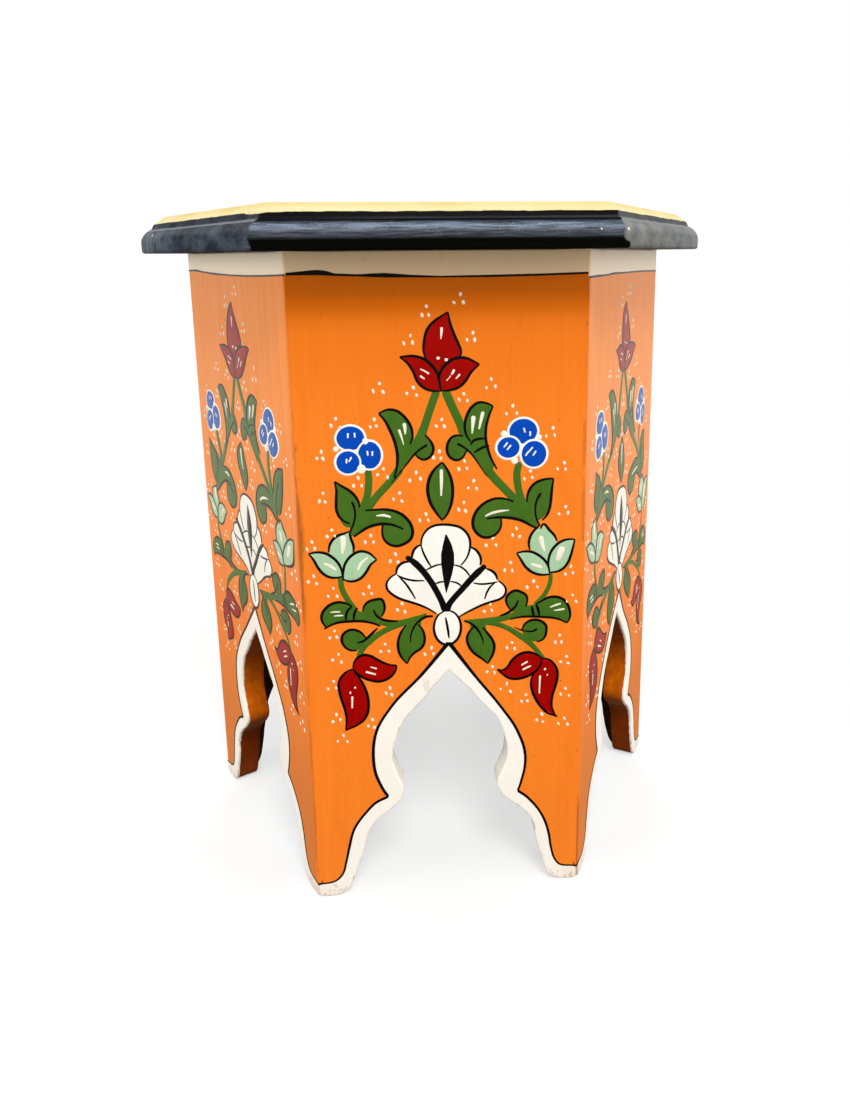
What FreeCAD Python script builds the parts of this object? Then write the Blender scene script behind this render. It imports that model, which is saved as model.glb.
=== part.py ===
import FreeCAD, Part
import math
import os

# A painted hexagonal kursi stool: six mitred boards with a cusped ogee arch cut in each,
# glue blocks in the corners, cleats under the top, and a moulded top of three glued boards.
# Millimetres, +Z up, the origin on the floor in the middle, the front panel facing -Y.

# Body
side_width = 175.0          # width of a panel, corner to corner
body_height = 421.5         # floor to the underside of the top
panel_thickness = 18.0

# Arch in each panel
arch_rise = 160.5           # floor to the point of the arch
arch_spread = 77.0          # middle of the panel to the sole of a foot

# Top
top_thickness = 26.0
top_overhang = 27.5         # how far the top stands out past a panel
under_round = 2.0           # small round along the lower edge
edge_flat = 8.5             # height of the upright part of the edge
nose_inset = 7.0            # how far in the nose has curved at its upper end
nose_height = 17.0          # underside to the upper end of the nose
riser_inset = 1.5           # lean of the small riser above the nose
riser_height = 3.2
bevel_inset = 8.0           # the bevel from the riser up to the top face

# Inner blocks and cleats
block_leg = 28.0            # width of a glue block's face on each panel
block_height = 110.0
cleat_width = 20.0
cleat_height = 20.0
cleat_end_gap = 2.0         # between a cleat's end and the glue block

# Dowels between the boards of the top
dowel_diameter = 8.0
dowel_length = 36.0
dowel_spacing = 100.0
dowel_end_room = 2.0        # glue room past each end of a dowel

# Square cut nails through the cleats, tapering from under the head to the tip
cleat_nail_length = 35.0
cleat_nail_width = 3.2
cleat_nail_tip = 1.6
cleat_nail_head = 7.0
cleat_nail_head_height = 1.6
nail_end_room = 13.0        # a cleat's end to the nail that goes up into the top
nail_side_share = 0.34      # spacing of the nails that go out into the panel, of a cleat's length

# Headless cut nails across the mitres
corner_nail_length = 35.0
corner_nail_width = 2.2
corner_nail_tip = 1.4
corner_nail_cover = 2.0     # filler over a nail that is punched below the face
lowest_nail = 60.0          # floor to the lowest nail of a corner
highest_nail_drop = 60.0    # underside of the top to the highest nail
nails_per_corner = 3

# Fits
fit_gap = 0.1               # round a dowel or nail in its hole
overrun = 5.0               # how far a cutter passes the face it opens

# Names, counter-clockwise seen from above, and counts
side_names = ("front", "front_right", "back_right", "back", "back_left", "front_left")
corner_names = ("right", "right_back", "left_back", "left", "left_front", "right_front")
board_names = ("front", "middle", "back")
dowels_per_joint = 3
sides = len(side_names)
top_boards = len(board_names)
turn = 360.0 / sides
half_turn = math.radians(turn / 2)

# Worked out from the sizes above; an apothem is the distance from the middle to a flat side
body_apothem = side_width / 2 / math.tan(half_turn)
inner_apothem = body_apothem - panel_thickness
inner_corner = inner_apothem / math.cos(half_turn)
inner_width = 2 * inner_apothem * math.tan(half_turn)
cleat_length = inner_width - 2 * (block_leg + cleat_end_gap)
top_apothem = body_apothem + top_overhang
top_corner = top_apothem / math.cos(half_turn)
board_width = 2 * top_apothem / top_boards

up = FreeCAD.Vector(0, 0, 1)
origin = FreeCAD.Vector(0, 0, 0)


def vec(x, y, z):
    return FreeCAD.Vector(x, y, z)


def turned(shape, degrees):
    """A copy of the shape, turned about the stool's upright axis."""
    copy = shape.copy()
    copy.rotate(origin, up, degrees)
    return copy


def prism(points, direction):
    """A solid with a straight-sided outline, pushed along a direction."""
    return Part.Face(Part.makePolygon(points + points[:1])).extrude(direction)


# Half of the arch's outline, from the sole of the foot up to the point. Each row is an arc:
# its middle and its end, across as shares of the spread and up as shares of the rise.
arch_arc_shares = (
    ((0.903, 0.017), (0.848, 0.056)),   # rounded inner corner of the foot
    ((0.792, 0.134), (0.743, 0.221)),   # leg, leaning in a little
    ((0.683, 0.310), (0.574, 0.371)),   # haunch
    ((0.505, 0.395), (0.442, 0.421)),   # run up to the cusp
    ((0.403, 0.458), (0.413, 0.503)),   # cusp that stands into the opening
    ((0.462, 0.561), (0.487, 0.626)),   # lower side of the bulb
    ((0.432, 0.741), (0.286, 0.841)),   # shoulder of the bulb
    ((0.140, 0.922), (0.000, 1.000)),   # long slope to the point
)


def arch_edges(side):
    """The arcs of one half of the arch; side is 1 for the right half and -1 for the left."""
    edges = []
    start = vec(side * arch_spread, 0, 0)
    for middle_shares, end_shares in arch_arc_shares:
        middle = vec(side * middle_shares[0] * arch_spread, 0, middle_shares[1] * arch_rise)
        end = vec(side * end_shares[0] * arch_spread, 0, end_shares[1] * arch_rise)
        edges.append(Part.Arc(start, middle, end).toShape())
        start = end
    return edges


def arch_cutter():
    """The arch as a solid that passes through the front panel, open at the floor."""
    left = vec(-arch_spread, 0, 0)
    right = vec(arch_spread, 0, 0)
    below = vec(0, 0, -overrun)
    edges = arch_edges(1) + arch_edges(-1)
    edges.append(Part.makeLine(left, left + below))
    edges.append(Part.makeLine(left + below, right + below))
    edges.append(Part.makeLine(right + below, right))
    outline = Part.Wire(Part.sortEdges(edges)[0])
    cutter = Part.Face(outline).extrude(vec(0, panel_thickness + 2 * overrun, 0))
    cutter.translate(vec(0, -body_apothem - overrun, 0))
    return cutter


def front_panel():
    """One board: both long edges mitred to meet the neighbours, and the arch sawn out."""
    half_outer = side_width / 2
    half_inner = inner_width / 2
    plan = [vec(-half_outer, -body_apothem, 0), vec(half_outer, -body_apothem, 0),
            vec(half_inner, -inner_apothem, 0), vec(-half_inner, -inner_apothem, 0)]
    return prism(plan, vec(0, 0, body_height)).cut(arch_cutter())


def spike(width, tip_width, length, room):
    """A square shank that tapers upwards from its own height zero; room makes it the hole
    that the shank fills."""
    squares = []
    for height, across in ((0, width), (length + room, tip_width)):
        half = across / 2 + room
        corners = [vec(-half, -half, height), vec(half, -half, height),
                   vec(half, half, height), vec(-half, half, height)]
        squares.append(Part.makePolygon(corners + corners[:1]))
    return Part.makeLoft(squares, True, True)


def corner_nail(room):
    """A nail across the mitre at the front panel's right end. It runs along the middle of the
    next panel's thickness, so it enters the front panel where that middle plane comes
    through its face."""
    along = vec(math.sin(half_turn), math.cos(half_turn), 0)
    entry = vec(side_width / 2 - panel_thickness / 2 / math.cos(half_turn), -body_apothem, 0)
    body = spike(corner_nail_width, corner_nail_tip, corner_nail_length, room)
    body.rotate(origin, vec(1, 0, 0), -90)
    body.rotate(origin, up, -turn / 2)
    body.translate(entry + along * corner_nail_cover)
    return body


def corner_nails(room):
    """All the nails, a column of them at every corner."""
    highest_nail = body_height - highest_nail_drop
    step = (highest_nail - lowest_nail) / (nails_per_corner - 1)
    nails = []
    for corner in range(sides):
        for row in range(nails_per_corner):
            one = corner_nail(room)
            one.translate(vec(0, 0, lowest_nail + row * step))
            nails.append(turned(one, corner * turn))
    return nails


def glue_block():
    """A three-cornered block rubbed into the inner corner on +X, tight under the top."""
    half_spread = block_leg * math.cos(half_turn)
    depth = block_leg * math.sin(half_turn)
    plan = [vec(inner_corner, 0, 0), vec(inner_corner - depth, half_spread, 0),
            vec(inner_corner - depth, -half_spread, 0)]
    block = prism(plan, vec(0, 0, block_height))
    block.translate(vec(0, 0, body_height - block_height))
    return block


def cleat_nail(room):
    """A nail pointing up, its head driven flush at its own height zero."""
    across = cleat_nail_head + 2 * room
    head = Part.makeBox(across, across, cleat_nail_head_height + room)
    head.translate(vec(-across / 2, -across / 2, 0))
    return head.fuse(spike(cleat_nail_width, cleat_nail_tip, cleat_nail_length, room))


def front_cleat_nails(room):
    """Two nails up into the top and two out into the panel, for the front cleat."""
    middle = -inner_apothem + cleat_width / 2
    nails = []
    for side in (-1, 1):
        rising = cleat_nail(room)
        rising.translate(vec(side * (cleat_length / 2 - nail_end_room), middle,
                             body_height - cleat_height))
        nails.append(rising)
        level = cleat_nail(room)
        level.rotate(origin, vec(1, 0, 0), 90)
        level.translate(vec(side * cleat_length * nail_side_share / 2, -inner_apothem + cleat_width,
                            body_height - cleat_height / 2))
        nails.append(level)
    return nails


def cleat_nails(room):
    """The nails of all the cleats."""
    nails = []
    for index in range(sides):
        nails += [turned(one, index * turn) for one in front_cleat_nails(room)]
    return nails


def front_cleat():
    """A square batten along the inside of the front panel, tight under the top."""
    cleat = Part.makeBox(cleat_length, cleat_width, cleat_height)
    cleat.translate(vec(-cleat_length / 2, -inner_apothem, body_height - cleat_height))
    return cleat


def edge_prism():
    """The moulded section of the top's front edge, run along X and solid back to the middle."""
    front = -top_apothem
    base = body_height
    back = overrun
    nose_end = front + nose_inset
    riser_end = nose_end + riser_inset
    bevel_end = riser_end + bevel_inset
    # the middle of each round, where its curve stands furthest out
    round_middle = under_round * (1 - math.cos(math.radians(45)))
    nose_middle_inset_share = 0.36
    nose_middle_height_share = 0.60
    nose_middle = vec(0, front + nose_inset * nose_middle_inset_share,
                      base + edge_flat + (nose_height - edge_flat) * nose_middle_height_share)
    at = dict(
        under=vec(0, front + under_round, base),
        upright=vec(0, front, base + under_round),
        shoulder=vec(0, front, base + edge_flat),
        nose=vec(0, nose_end, base + nose_height),
        riser=vec(0, riser_end, base + nose_height + riser_height),
        rim=vec(0, bevel_end, base + top_thickness),
        back_top=vec(0, back, base + top_thickness),
        back_under=vec(0, back, base))
    under_middle = vec(0, front + round_middle, base + round_middle)
    edges = [
        Part.Arc(at["under"], under_middle, at["upright"]).toShape(),
        Part.makeLine(at["upright"], at["shoulder"]),
        Part.Arc(at["shoulder"], nose_middle, at["nose"]).toShape(),
        Part.makeLine(at["nose"], at["riser"]),
        Part.makeLine(at["riser"], at["rim"]),
        Part.makeLine(at["rim"], at["back_top"]),
        Part.makeLine(at["back_top"], at["back_under"]),
        Part.makeLine(at["back_under"], at["under"])]
    half_run = top_corner + overrun
    section = Part.Face(Part.Wire(edges))
    section.translate(vec(-half_run, 0, 0))
    return section.extrude(vec(2 * half_run, 0, 0))


def top_slab():
    """The whole top before it is parted into boards: the moulded run, mitred to one sixth of
    the hexagon and set round the middle."""
    far = top_apothem + overrun
    half_far = far * math.tan(half_turn)
    ground = body_height - overrun
    sixth = [vec(0, 0, ground), vec(-half_far, -far, ground), vec(half_far, -far, ground)]
    sector = edge_prism().common(prism(sixth, vec(0, 0, top_thickness + 2 * overrun)))
    others = [turned(sector, index * turn) for index in range(1, sides)]
    return sector.fuse(others).removeSplitter()


def dowels(room):
    """The dowels that line up the boards, in a row along each joint."""
    length = dowel_length + (2 * dowel_end_room if room else 0)
    pins = []
    for joint in range(1, top_boards):
        y = -top_apothem + joint * board_width
        for place in range(dowels_per_joint):
            x = (place - (dowels_per_joint - 1) / 2) * dowel_spacing
            start = vec(x, y - length / 2, body_height + top_thickness / 2)
            pins.append(Part.makeCylinder(dowel_diameter / 2 + room, length, start, vec(0, 1, 0)))
    return pins


def top_board(slab, index, cutters):
    """One board of the top: its strip of the slab, less its dowel and nail holes."""
    strip = Part.makeBox(2 * (top_corner + overrun), board_width, top_thickness)
    strip.translate(vec(-top_corner - overrun, -top_apothem + index * board_width, body_height))
    return slab.common(strip).cut(cutters)


def save(name, shape):
    """Writes one piece, or one group of like pieces, as its own file."""
    shape.exportStep("parts/" + name + ".step")


os.makedirs("parts", exist_ok=True)

cleat_holes = cleat_nails(fit_gap)
panel_holes = cleat_holes + corner_nails(fit_gap)
board_holes = cleat_holes + dowels(fit_gap)

panel = front_panel()
cleat = front_cleat()
block = glue_block()
for number, side_name in enumerate(side_names):
    save("panel_" + side_name, turned(panel, number * turn).cut(panel_holes))
    save("cleat_" + side_name, turned(cleat, number * turn).cut(cleat_holes))
for number, corner_name in enumerate(corner_names):
    save("glue_block_" + corner_name, turned(block, number * turn))

slab = top_slab()
for number, board_name in enumerate(board_names):
    save("top_board_" + board_name, top_board(slab, number, board_holes))

save("dowels", Part.makeCompound(dowels(0)))
save("cleat_nails", Part.makeCompound(cleat_nails(0)))
save("corner_nails", Part.makeCompound(corner_nails(0)))
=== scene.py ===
import math

import bpy
import bmesh
import numpy as np
from mathutils import Matrix, Vector


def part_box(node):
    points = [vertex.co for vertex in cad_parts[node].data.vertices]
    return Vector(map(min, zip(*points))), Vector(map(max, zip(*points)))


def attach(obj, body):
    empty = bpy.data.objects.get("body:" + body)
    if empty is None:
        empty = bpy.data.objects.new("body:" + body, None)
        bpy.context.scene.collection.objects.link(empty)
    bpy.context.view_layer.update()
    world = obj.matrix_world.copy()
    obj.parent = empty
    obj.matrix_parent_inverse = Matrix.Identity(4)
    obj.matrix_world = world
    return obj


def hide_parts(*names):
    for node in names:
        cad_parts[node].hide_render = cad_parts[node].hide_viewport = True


# A painted hexagonal kursi stool. Sizes are in metres, except on the painter's drawing.
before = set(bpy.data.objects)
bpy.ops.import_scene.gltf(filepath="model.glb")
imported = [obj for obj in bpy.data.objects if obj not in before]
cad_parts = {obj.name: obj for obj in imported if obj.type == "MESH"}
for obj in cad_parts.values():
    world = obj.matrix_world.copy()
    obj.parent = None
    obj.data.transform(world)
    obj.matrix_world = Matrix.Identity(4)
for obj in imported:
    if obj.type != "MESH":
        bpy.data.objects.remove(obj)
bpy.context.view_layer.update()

# The body: six softwood boards, mitred and glued at the corners. Each has a cusped ogee arch sawn
# out of its lower end. A coat of orange covers the outside, and a cream border goes round the arch
# and along the top. The inside is bare, with painted shade that makes it dark.
mm = 0.001
side_names = ("front", "front_right", "back_right", "back", "back_left", "front_left")
sides = len(side_names)
sixth = math.radians(360 / sides)
board_low, board_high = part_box("panel_front")
side_width = board_high.x - board_low.x
body_height = board_high.z
body_apothem = -board_low.y
thickness = board_high.y - board_low.y
coat = 0.2 * mm             # paint and ground lie inside the board's full size
floor_wear = 2.5            # the drawing's zero line is this far under the worn soles
arch_spread = 77.0 * mm
arch_rise = 160.5 * mm
arch_shifts = (2.0, 0.6, -0.7, 0.4, 0.0, 0.0)   # millimetres, each arch's way off the middle
shift_reach = 45 * mm       # height over which a shift comes in, from nothing at the soles
saw_waver = 0.25 * mm       # how far the saw strayed
saw_waves = (210, 520)      # radians per metre along the cut, a long wave and a short one
rim_round = 1.3 * mm        # where the face meets the cut edge of the arch
edge_round = 0.9 * mm       # where the face meets the mitre and the top
mitre_round = 0.5 * mm      # where the mitre meets the inner face
back_round = 0.8 * mm       # where the arch meets the inner face
rubbed_reach = 3.5 * mm     # how far in from the rim the border is rubbed
line_half = 0.15 * mm       # half the width in which orange gives way to cream under the line
band_step = 0.2 * mm        # the same under the band's line
a_hair = 0.01 * mm          # tolerance
foot_round = 3.6 * mm       # the worn outer corner of a foot
near_edge = 2.0 * mm        # how far in the outer edge is worn
line_start = 9.5 * mm       # height at which the border leaves the outer edge of a foot
steps_per_arc = 8
arc_sag = 0.29              # a quarter round's middle lies this share of its radius in, both ways

# Half of the arch: each arc's middle and end, as shares of arch_spread and arch_rise.
arch_arc_shares = (
    ((0.903, 0.017), (0.848, 0.056)),   # rounded inner corner of the foot
    ((0.792, 0.134), (0.743, 0.221)),   # leg, leaning in a little
    ((0.683, 0.310), (0.574, 0.371)),   # haunch
    ((0.505, 0.395), (0.442, 0.421)),   # run up to the cusp
    ((0.403, 0.458), (0.413, 0.503)),   # cusp that stands into the opening
    ((0.462, 0.561), (0.487, 0.626)),   # lower side of the bulb
    ((0.432, 0.741), (0.286, 0.841)),   # shoulder of the bulb
    ((0.140, 0.922), (0.000, 1.000)),   # long slope to the point
)
# The border's black line on the right half, 1, and the left half, -1, in millimetres on the
# drawing: the first arc goes with the foot's worn corner, the second with its sole, and the rest
# with the arch's own arcs.
line_arcs = {
    1: (((86.0, 12.2), (84.5, 12.6)), ((81.5, 13.0), (79.0, 13.2)),
        ((75.0, 14.6), (72.0, 18.5)), ((69.2, 28.0), (67.5, 39.0)),
        ((63.0, 53.0), (55.5, 64.5)), ((51.0, 69.3), (46.3, 73.0)),
        ((47.6, 76.5), (48.7, 80.5)), ((50.8, 89.5), (51.2, 99.0)),
        ((46.0, 117.0), (35.0, 135.3)), ((17.0, 160.0), (2.0, 182.0))),
    -1: (((85.5, 12.7), (84.0, 12.8)), ((81.5, 13.0), (79.0, 13.2)),
         ((75.0, 14.8), (71.5, 18.5)), ((68.5, 28.0), (66.0, 39.0)),
         ((61.7, 53.5), (54.0, 64.3)), ((47.0, 71.3), (39.2, 75.0)),
         ((41.2, 78.0), (43.3, 82.3)), ((46.8, 92.0), (48.0, 103.0)),
         ((44.9, 124.0), (35.0, 140.0)), ((16.0, 160.2), (-2.0, 182.0))),
}
# Where the line's halves meet on each board, and how much each takes after the other on the front.
line_points = ((2.0, 182.0), (4.5, 178.5), (1.0, 181.5), (-1.5, 180.5), (0.0, 182.5), (2.5, 181.0))
line_weights = (0, 0.6, 0.25, 0.8, 0.4, 0.1)
# How far up the outer edge each of those arcs reaches, as a share of the height; the last one goes
# on over the top to its middle.
outer_reach_shares = (0.037, 0.043, 0.062, 0.11, 0.16, 0.185, 0.21, 0.27, 0.62)


def arc(start, middle, end, steps):
    """Points after start on the circle through three points: the centre is where the chords'
    middle lines meet, and the angle runs evenly from start through middle to end."""
    start, middle, end = (np.array(p, float) for p in (start, middle, end))
    chords = np.array([middle - start, end - start]) * 2
    reach = (middle @ middle - start @ start, end @ end - start @ start)
    centre = np.linalg.solve(chords, reach)
    angles = [math.atan2(*(p - centre)[::-1]) for p in (start, middle, end)]
    way = 1 if np.cross(middle - start, end - middle) > 0 else -1
    sweep = (way * (angles[2] - angles[0])) % (2 * math.pi)
    turn = angles[0] + way * sweep * np.arange(1, steps + 1) / steps
    radius = np.hypot(*(start - centre))
    return centre + radius * np.stack([np.cos(turn), np.sin(turn)], axis=1)


def arcs(start, rows, steps):
    """A chain of arcs from start; each row gives an arc's middle and its end."""
    line = [np.array([start], float)]
    for middle, end in rows:
        line.append(arc(line[-1][-1], middle, end, steps))
    return np.vstack(line)


def blend(values, weight, others):
    """Values moved by a weight towards others."""
    return np.array(values) * (1 - weight) + np.array(others) * weight


def half_lines(side, weight, index):
    """Rim, border line and outer edge of one half of a board, point for point, as across and up.
    The weight moves the border line from this half's own towards the other half's."""
    half = side_width / 2
    bulge = foot_round * arc_sag
    foot = arcs((half, foot_round), [((half - bulge, bulge), (half - foot_round, 0))],
                steps_per_arc)
    sole = np.linspace(foot[-1], (arch_spread, 0), steps_per_arc + 1)[1:]
    scale = np.array([arch_spread, arch_rise])
    arch = arcs(sole[-1], np.array(arch_arc_shares) * scale, steps_per_arc)
    rim = np.vstack([foot, sole, arch[1:]])
    rows = blend(line_arcs[side], weight, line_arcs[-side])
    rows[-1, -1] = (side * line_points[index][0], line_points[index][1])
    rows = rows * mm - (0, floor_wear * mm)
    line = arcs((half, line_start), rows, steps_per_arc)
    reach = [line_start + 1.5 * mm, *(np.array(outer_reach_shares) * body_height)]
    heights = np.interp(np.arange(steps_per_arc * (len(reach) - 1) + 1) / steps_per_arc,
                        np.arange(len(reach)), reach)
    upright = np.stack([np.full_like(heights, half), heights], axis=1)
    low, high = band_edges(np.array([side * half]), index)
    under_band = (low[0] + high[0]) / 2 - band_step
    over = [(upright[-1, 1] + under_band) / 2, under_band, under_band + 2 * band_step, body_height]
    rest = np.stack([np.full(len(over), half), over], axis=1)
    across = np.linspace((half, body_height), (0, body_height), steps_per_arc - len(over) + 1)[1:]
    return [points * (side, 1) for points in (rim, line, np.vstack([upright, rest, across]))]


def board_lines(index):
    """The three lines of a whole board, from the right foot over the arch to the left foot. Each
    board's border was painted by hand, so it lies a little differently."""
    right, left = (half_lines(side, line_weights[index], index) for side in (1, -1))
    return [np.vstack([r, l[-2::-1]]) for r, l in zip(right, left)]


# The black line under the cream band along the top, on the drawing: across, its lower edge, its
# upper edge.
band_line = np.array([
    (-90, 410.5, 411.8), (-80, 410.5, 412.7), (-70, 410.5, 413.6), (-65, 410.3, 413.3),
    (-60, 410.0, 411.5), (-45, 409.5, 410.8), (-41, 409.2, 411.2), (-31, 408.8, 411.5),
    (-17, 408.7, 410.3), (0, 408.5, 409.5), (30, 408.4, 409.8), (60, 408.9, 410.2),
    (90, 409.7, 411.0)])
band_middle = 409.4
band_slopes = (1.0, -0.5, 0.6, -0.8, -0.4, 1.1)     # of each board's line, against the front's
band_lifts = (0.0, -1.7, 0.5, -0.4, 0.8, 0.6)       # millimetres
even_band = 1.1             # thickness that the other boards' lines tend to, by this share
evenness = 0.75


def band_edges(across, index):
    """Lower and upper edge of the band's line at these places across a board, in metres."""
    low, high = (np.interp(across / mm, band_line[:, 0], band_line[:, column])
                 for column in (1, 2))
    new_low = band_middle + (low - band_middle) * band_slopes[index] + band_lifts[index]
    thick = blend(high - low, evenness * (index > 0), even_band)
    return (new_low - floor_wear) * mm, (new_low + thick - floor_wear) * mm


def turned(points, index):
    """Points turned about the upright axis by a number of sixths, counter-clockwise from above."""
    c, s = math.cos(index * sixth), math.sin(index * sixth)
    return points @ np.array([[c, s, 0], [-s, c, 0], [0, 0, 1]])


def skin(name, shells, materials, attributes=None, sharp=40):
    """One mesh from shells. A shell is a material's number and rings of points; neighbouring rings
    are joined by four-sided faces, and the first and last ring are closed with a flat face."""
    points, faces, kinds, start = [], [], [], 0
    for kind, rings in shells:
        count, around = rings.shape[:2]
        here = start + np.arange(count * around).reshape(count, around)
        beside = np.roll(here, -1, axis=1)
        quads = np.stack([here[:-1], beside[:-1], beside[1:], here[1:]], axis=-1).reshape(-1, 4)
        faces += quads.tolist() + [here[0, ::-1].tolist(), here[-1].tolist()]
        kinds += [kind] * (len(quads) + 2)
        points.append(rings.reshape(-1, 3))
        start += count * around
    mesh = bpy.data.meshes.new(name)
    mesh.from_pydata(np.vstack(points), [], faces)
    for label, values in (attributes or {}).items():
        layer = mesh.attributes.new(label, "FLOAT", "POINT")
        layer.data.foreach_set("value", np.concatenate(values).astype(np.float32))
    for surface in materials:
        mesh.materials.append(surface)
    mesh.polygons.foreach_set("material_index", np.array(kinds, np.int32))
    shell = bmesh.new()
    shell.from_mesh(mesh)
    bmesh.ops.recalc_face_normals(shell, faces=shell.faces)
    shell.to_mesh(mesh)
    shell.free()
    mesh.shade_smooth()
    mesh.set_sharp_from_angle(angle=math.radians(sharp))
    piece = bpy.data.objects.new(name, mesh)
    bpy.context.scene.collection.objects.link(piece)
    return piece


def cross_band(line, outer, index, step):
    """Where the way from the border line to just inside the outer edge crosses the band's line, or
    the end of that way if it doesn't."""
    half = side_width / 2
    inside = np.clip(outer, (near_edge * 1.5 - half, 0), (half - near_edge * 1.5, body_height))
    share = np.ones(len(line))
    for _ in range(3):      # each round comes nearer, for the band's line isn't straight
        place = line + (inside - line) * share[:, None]
        low, high = band_edges(place[:, 0], index)
        rise = (low + high) / 2 + step - line[:, 1]
        share = np.clip(rise / np.maximum(inside[:, 1] - line[:, 1], mm / 10), 0, 1)
    return line + (inside - line) * share[:, None]


def board_rings(index):
    """Rings round a board's thickness, one for each step along its rim. A ring runs from the rim
    across the face to the outer edge, back through the thickness and in along the inner face. The
    rim and the outer edge are rounded, and the outer edge draws in with depth to the mitre."""
    rim, line, outer = board_lines(index)
    ahead = np.gradient(rim, axis=0)
    outward = np.stack([ahead[:, 1], -ahead[:, 0]], axis=1)
    outward /= np.linalg.norm(outward, axis=1)[:, None]
    along = np.concatenate([[0], np.cumsum(np.hypot(*np.diff(rim, axis=0).T))])
    long_wave, short_wave = (np.sin(along * wave + (order + 1) * index)
                             for order, wave in enumerate(saw_waves))
    waver = saw_waver * (long_wave + 0.6 * short_wave) * np.clip(rim[:, 1] / (4 * mm), 0, 1)
    cut = rim + outward * waver[:, None]
    cut[:, 0] += arch_shifts[index] * mm * np.clip(rim[:, 1] / shift_reach - 0.1, 0, 1)
    half = side_width / 2
    upright = np.abs(outer[:, 0]) > half - a_hair
    painted = float(index == 0)         # the front's border went on over the cut edge
    rows, creams, wears, bares = [], [], [], []

    def row(place, depth=0.0, cream=0.0, wear=0.0, bare=0.0):
        """Adds one point to every ring: where it is, how deep, and what covers the wood there."""
        draw_in = 1 - depth * math.tan(sixth / 2) / half
        outermost = np.abs(place[:, 0]) > half - foot_round - a_hair
        across = np.where(outermost, place[:, 0] * draw_in, place[:, 0])
        rows.append(np.stack([across, np.full(len(place), depth - body_apothem + coat),
                              place[:, 1]], axis=1))
        low, high = band_edges(place[:, 0], index)
        in_band = place[:, 1] > (low + high) / 2
        creams.append(np.where(in_band, 1.0, cream))
        wears.append(np.where(in_band, 0.2 * wear, wear))
        bares.append(np.full(len(place), bare))

    toward = line - cut
    reach = np.linalg.norm(toward, axis=1)[:, None]
    toward /= reach
    deep = thickness - coat
    for bend in np.radians((0, 22.5, 45, 67.5, 90)):
        row(cut + toward * rim_round * (1 - math.cos(bend)), rim_round * (1 - math.sin(bend)),
            cream=1, wear=1)
    row(cut + toward * (rim_round + 0.3 * mm), cream=1, wear=0.8)
    row(cut + toward * np.minimum(rubbed_reach, reach * 0.5), cream=1, wear=0.25)
    row(line - toward * line_half, cream=1)
    row(line + toward * line_half)
    below, above = (cross_band(line, outer, index, step) for step in (-band_step, band_step))
    for share in (0.3, 0.7, 1):
        row(line + (below - line) * share)
    row(above)
    inward = np.where(upright[:, None], [[-1, 0]] * np.sign(outer[:, :1]), [[0, -1]])
    row(outer + inward * near_edge, wear=0.3)
    row(outer + inward * (edge_round + 0.1 * mm), wear=0.8)
    for bend in np.radians((0, 30, 60, 90)):
        row(outer + inward * edge_round * (1 - math.sin(bend)), edge_round * (1 - math.cos(bend)),
            wear=1)
    row(outer, deep * 0.5, bare=1)
    row(outer, deep - mitre_round, bare=1)
    row(outer + inward * mitre_round, deep, bare=2)
    for share in (0.6, 0.25):
        row(cut + (outer - cut) * share, deep, bare=2)
    row(cut + toward * back_round, deep, bare=2)
    row(cut, deep - back_round, painted, 0.3, 1.3 * (1 - painted))
    row(cut, deep * 0.5, painted, 0.3, 1 - painted)
    row(cut, rim_round + 2.2 * mm, painted, 0.3, 1 - painted)
    rings = turned(np.stack(rows, axis=1), index)
    return rings, [np.stack(values, axis=1).reshape(-1) for values in (creams, wears, bares)]


class Value:
    """A socket that takes part in sums; every operator adds a Math node."""

    def __init__(self, shader, socket):
        self.shader, self.socket = shader, socket

    def __add__(self, other):
        return self.shader.math("ADD", self, other)

    def __sub__(self, other):
        return self.shader.math("SUBTRACT", self, other)

    def __rsub__(self, other):
        return self.shader.math("SUBTRACT", other, self)

    def __mul__(self, other):
        return self.shader.math("MULTIPLY", self, other)

    def __abs__(self):
        return self.shader.math("ABSOLUTE", self)

    def ramp(self, low, high):
        """0 below low, 1 above high, and smooth between them."""
        return self.shader.node("ShaderNodeMapRange", dict(interpolation_type="SMOOTHSTEP"),
                                {"Value": self, "From Min": low, "From Max": high})

    def near(self, middle, outer, inner):
        """1 up to the inner distance from a middle, 0 from the outer one on."""
        return abs(self - middle).ramp(outer, inner)

    __radd__ = __add__


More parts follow.
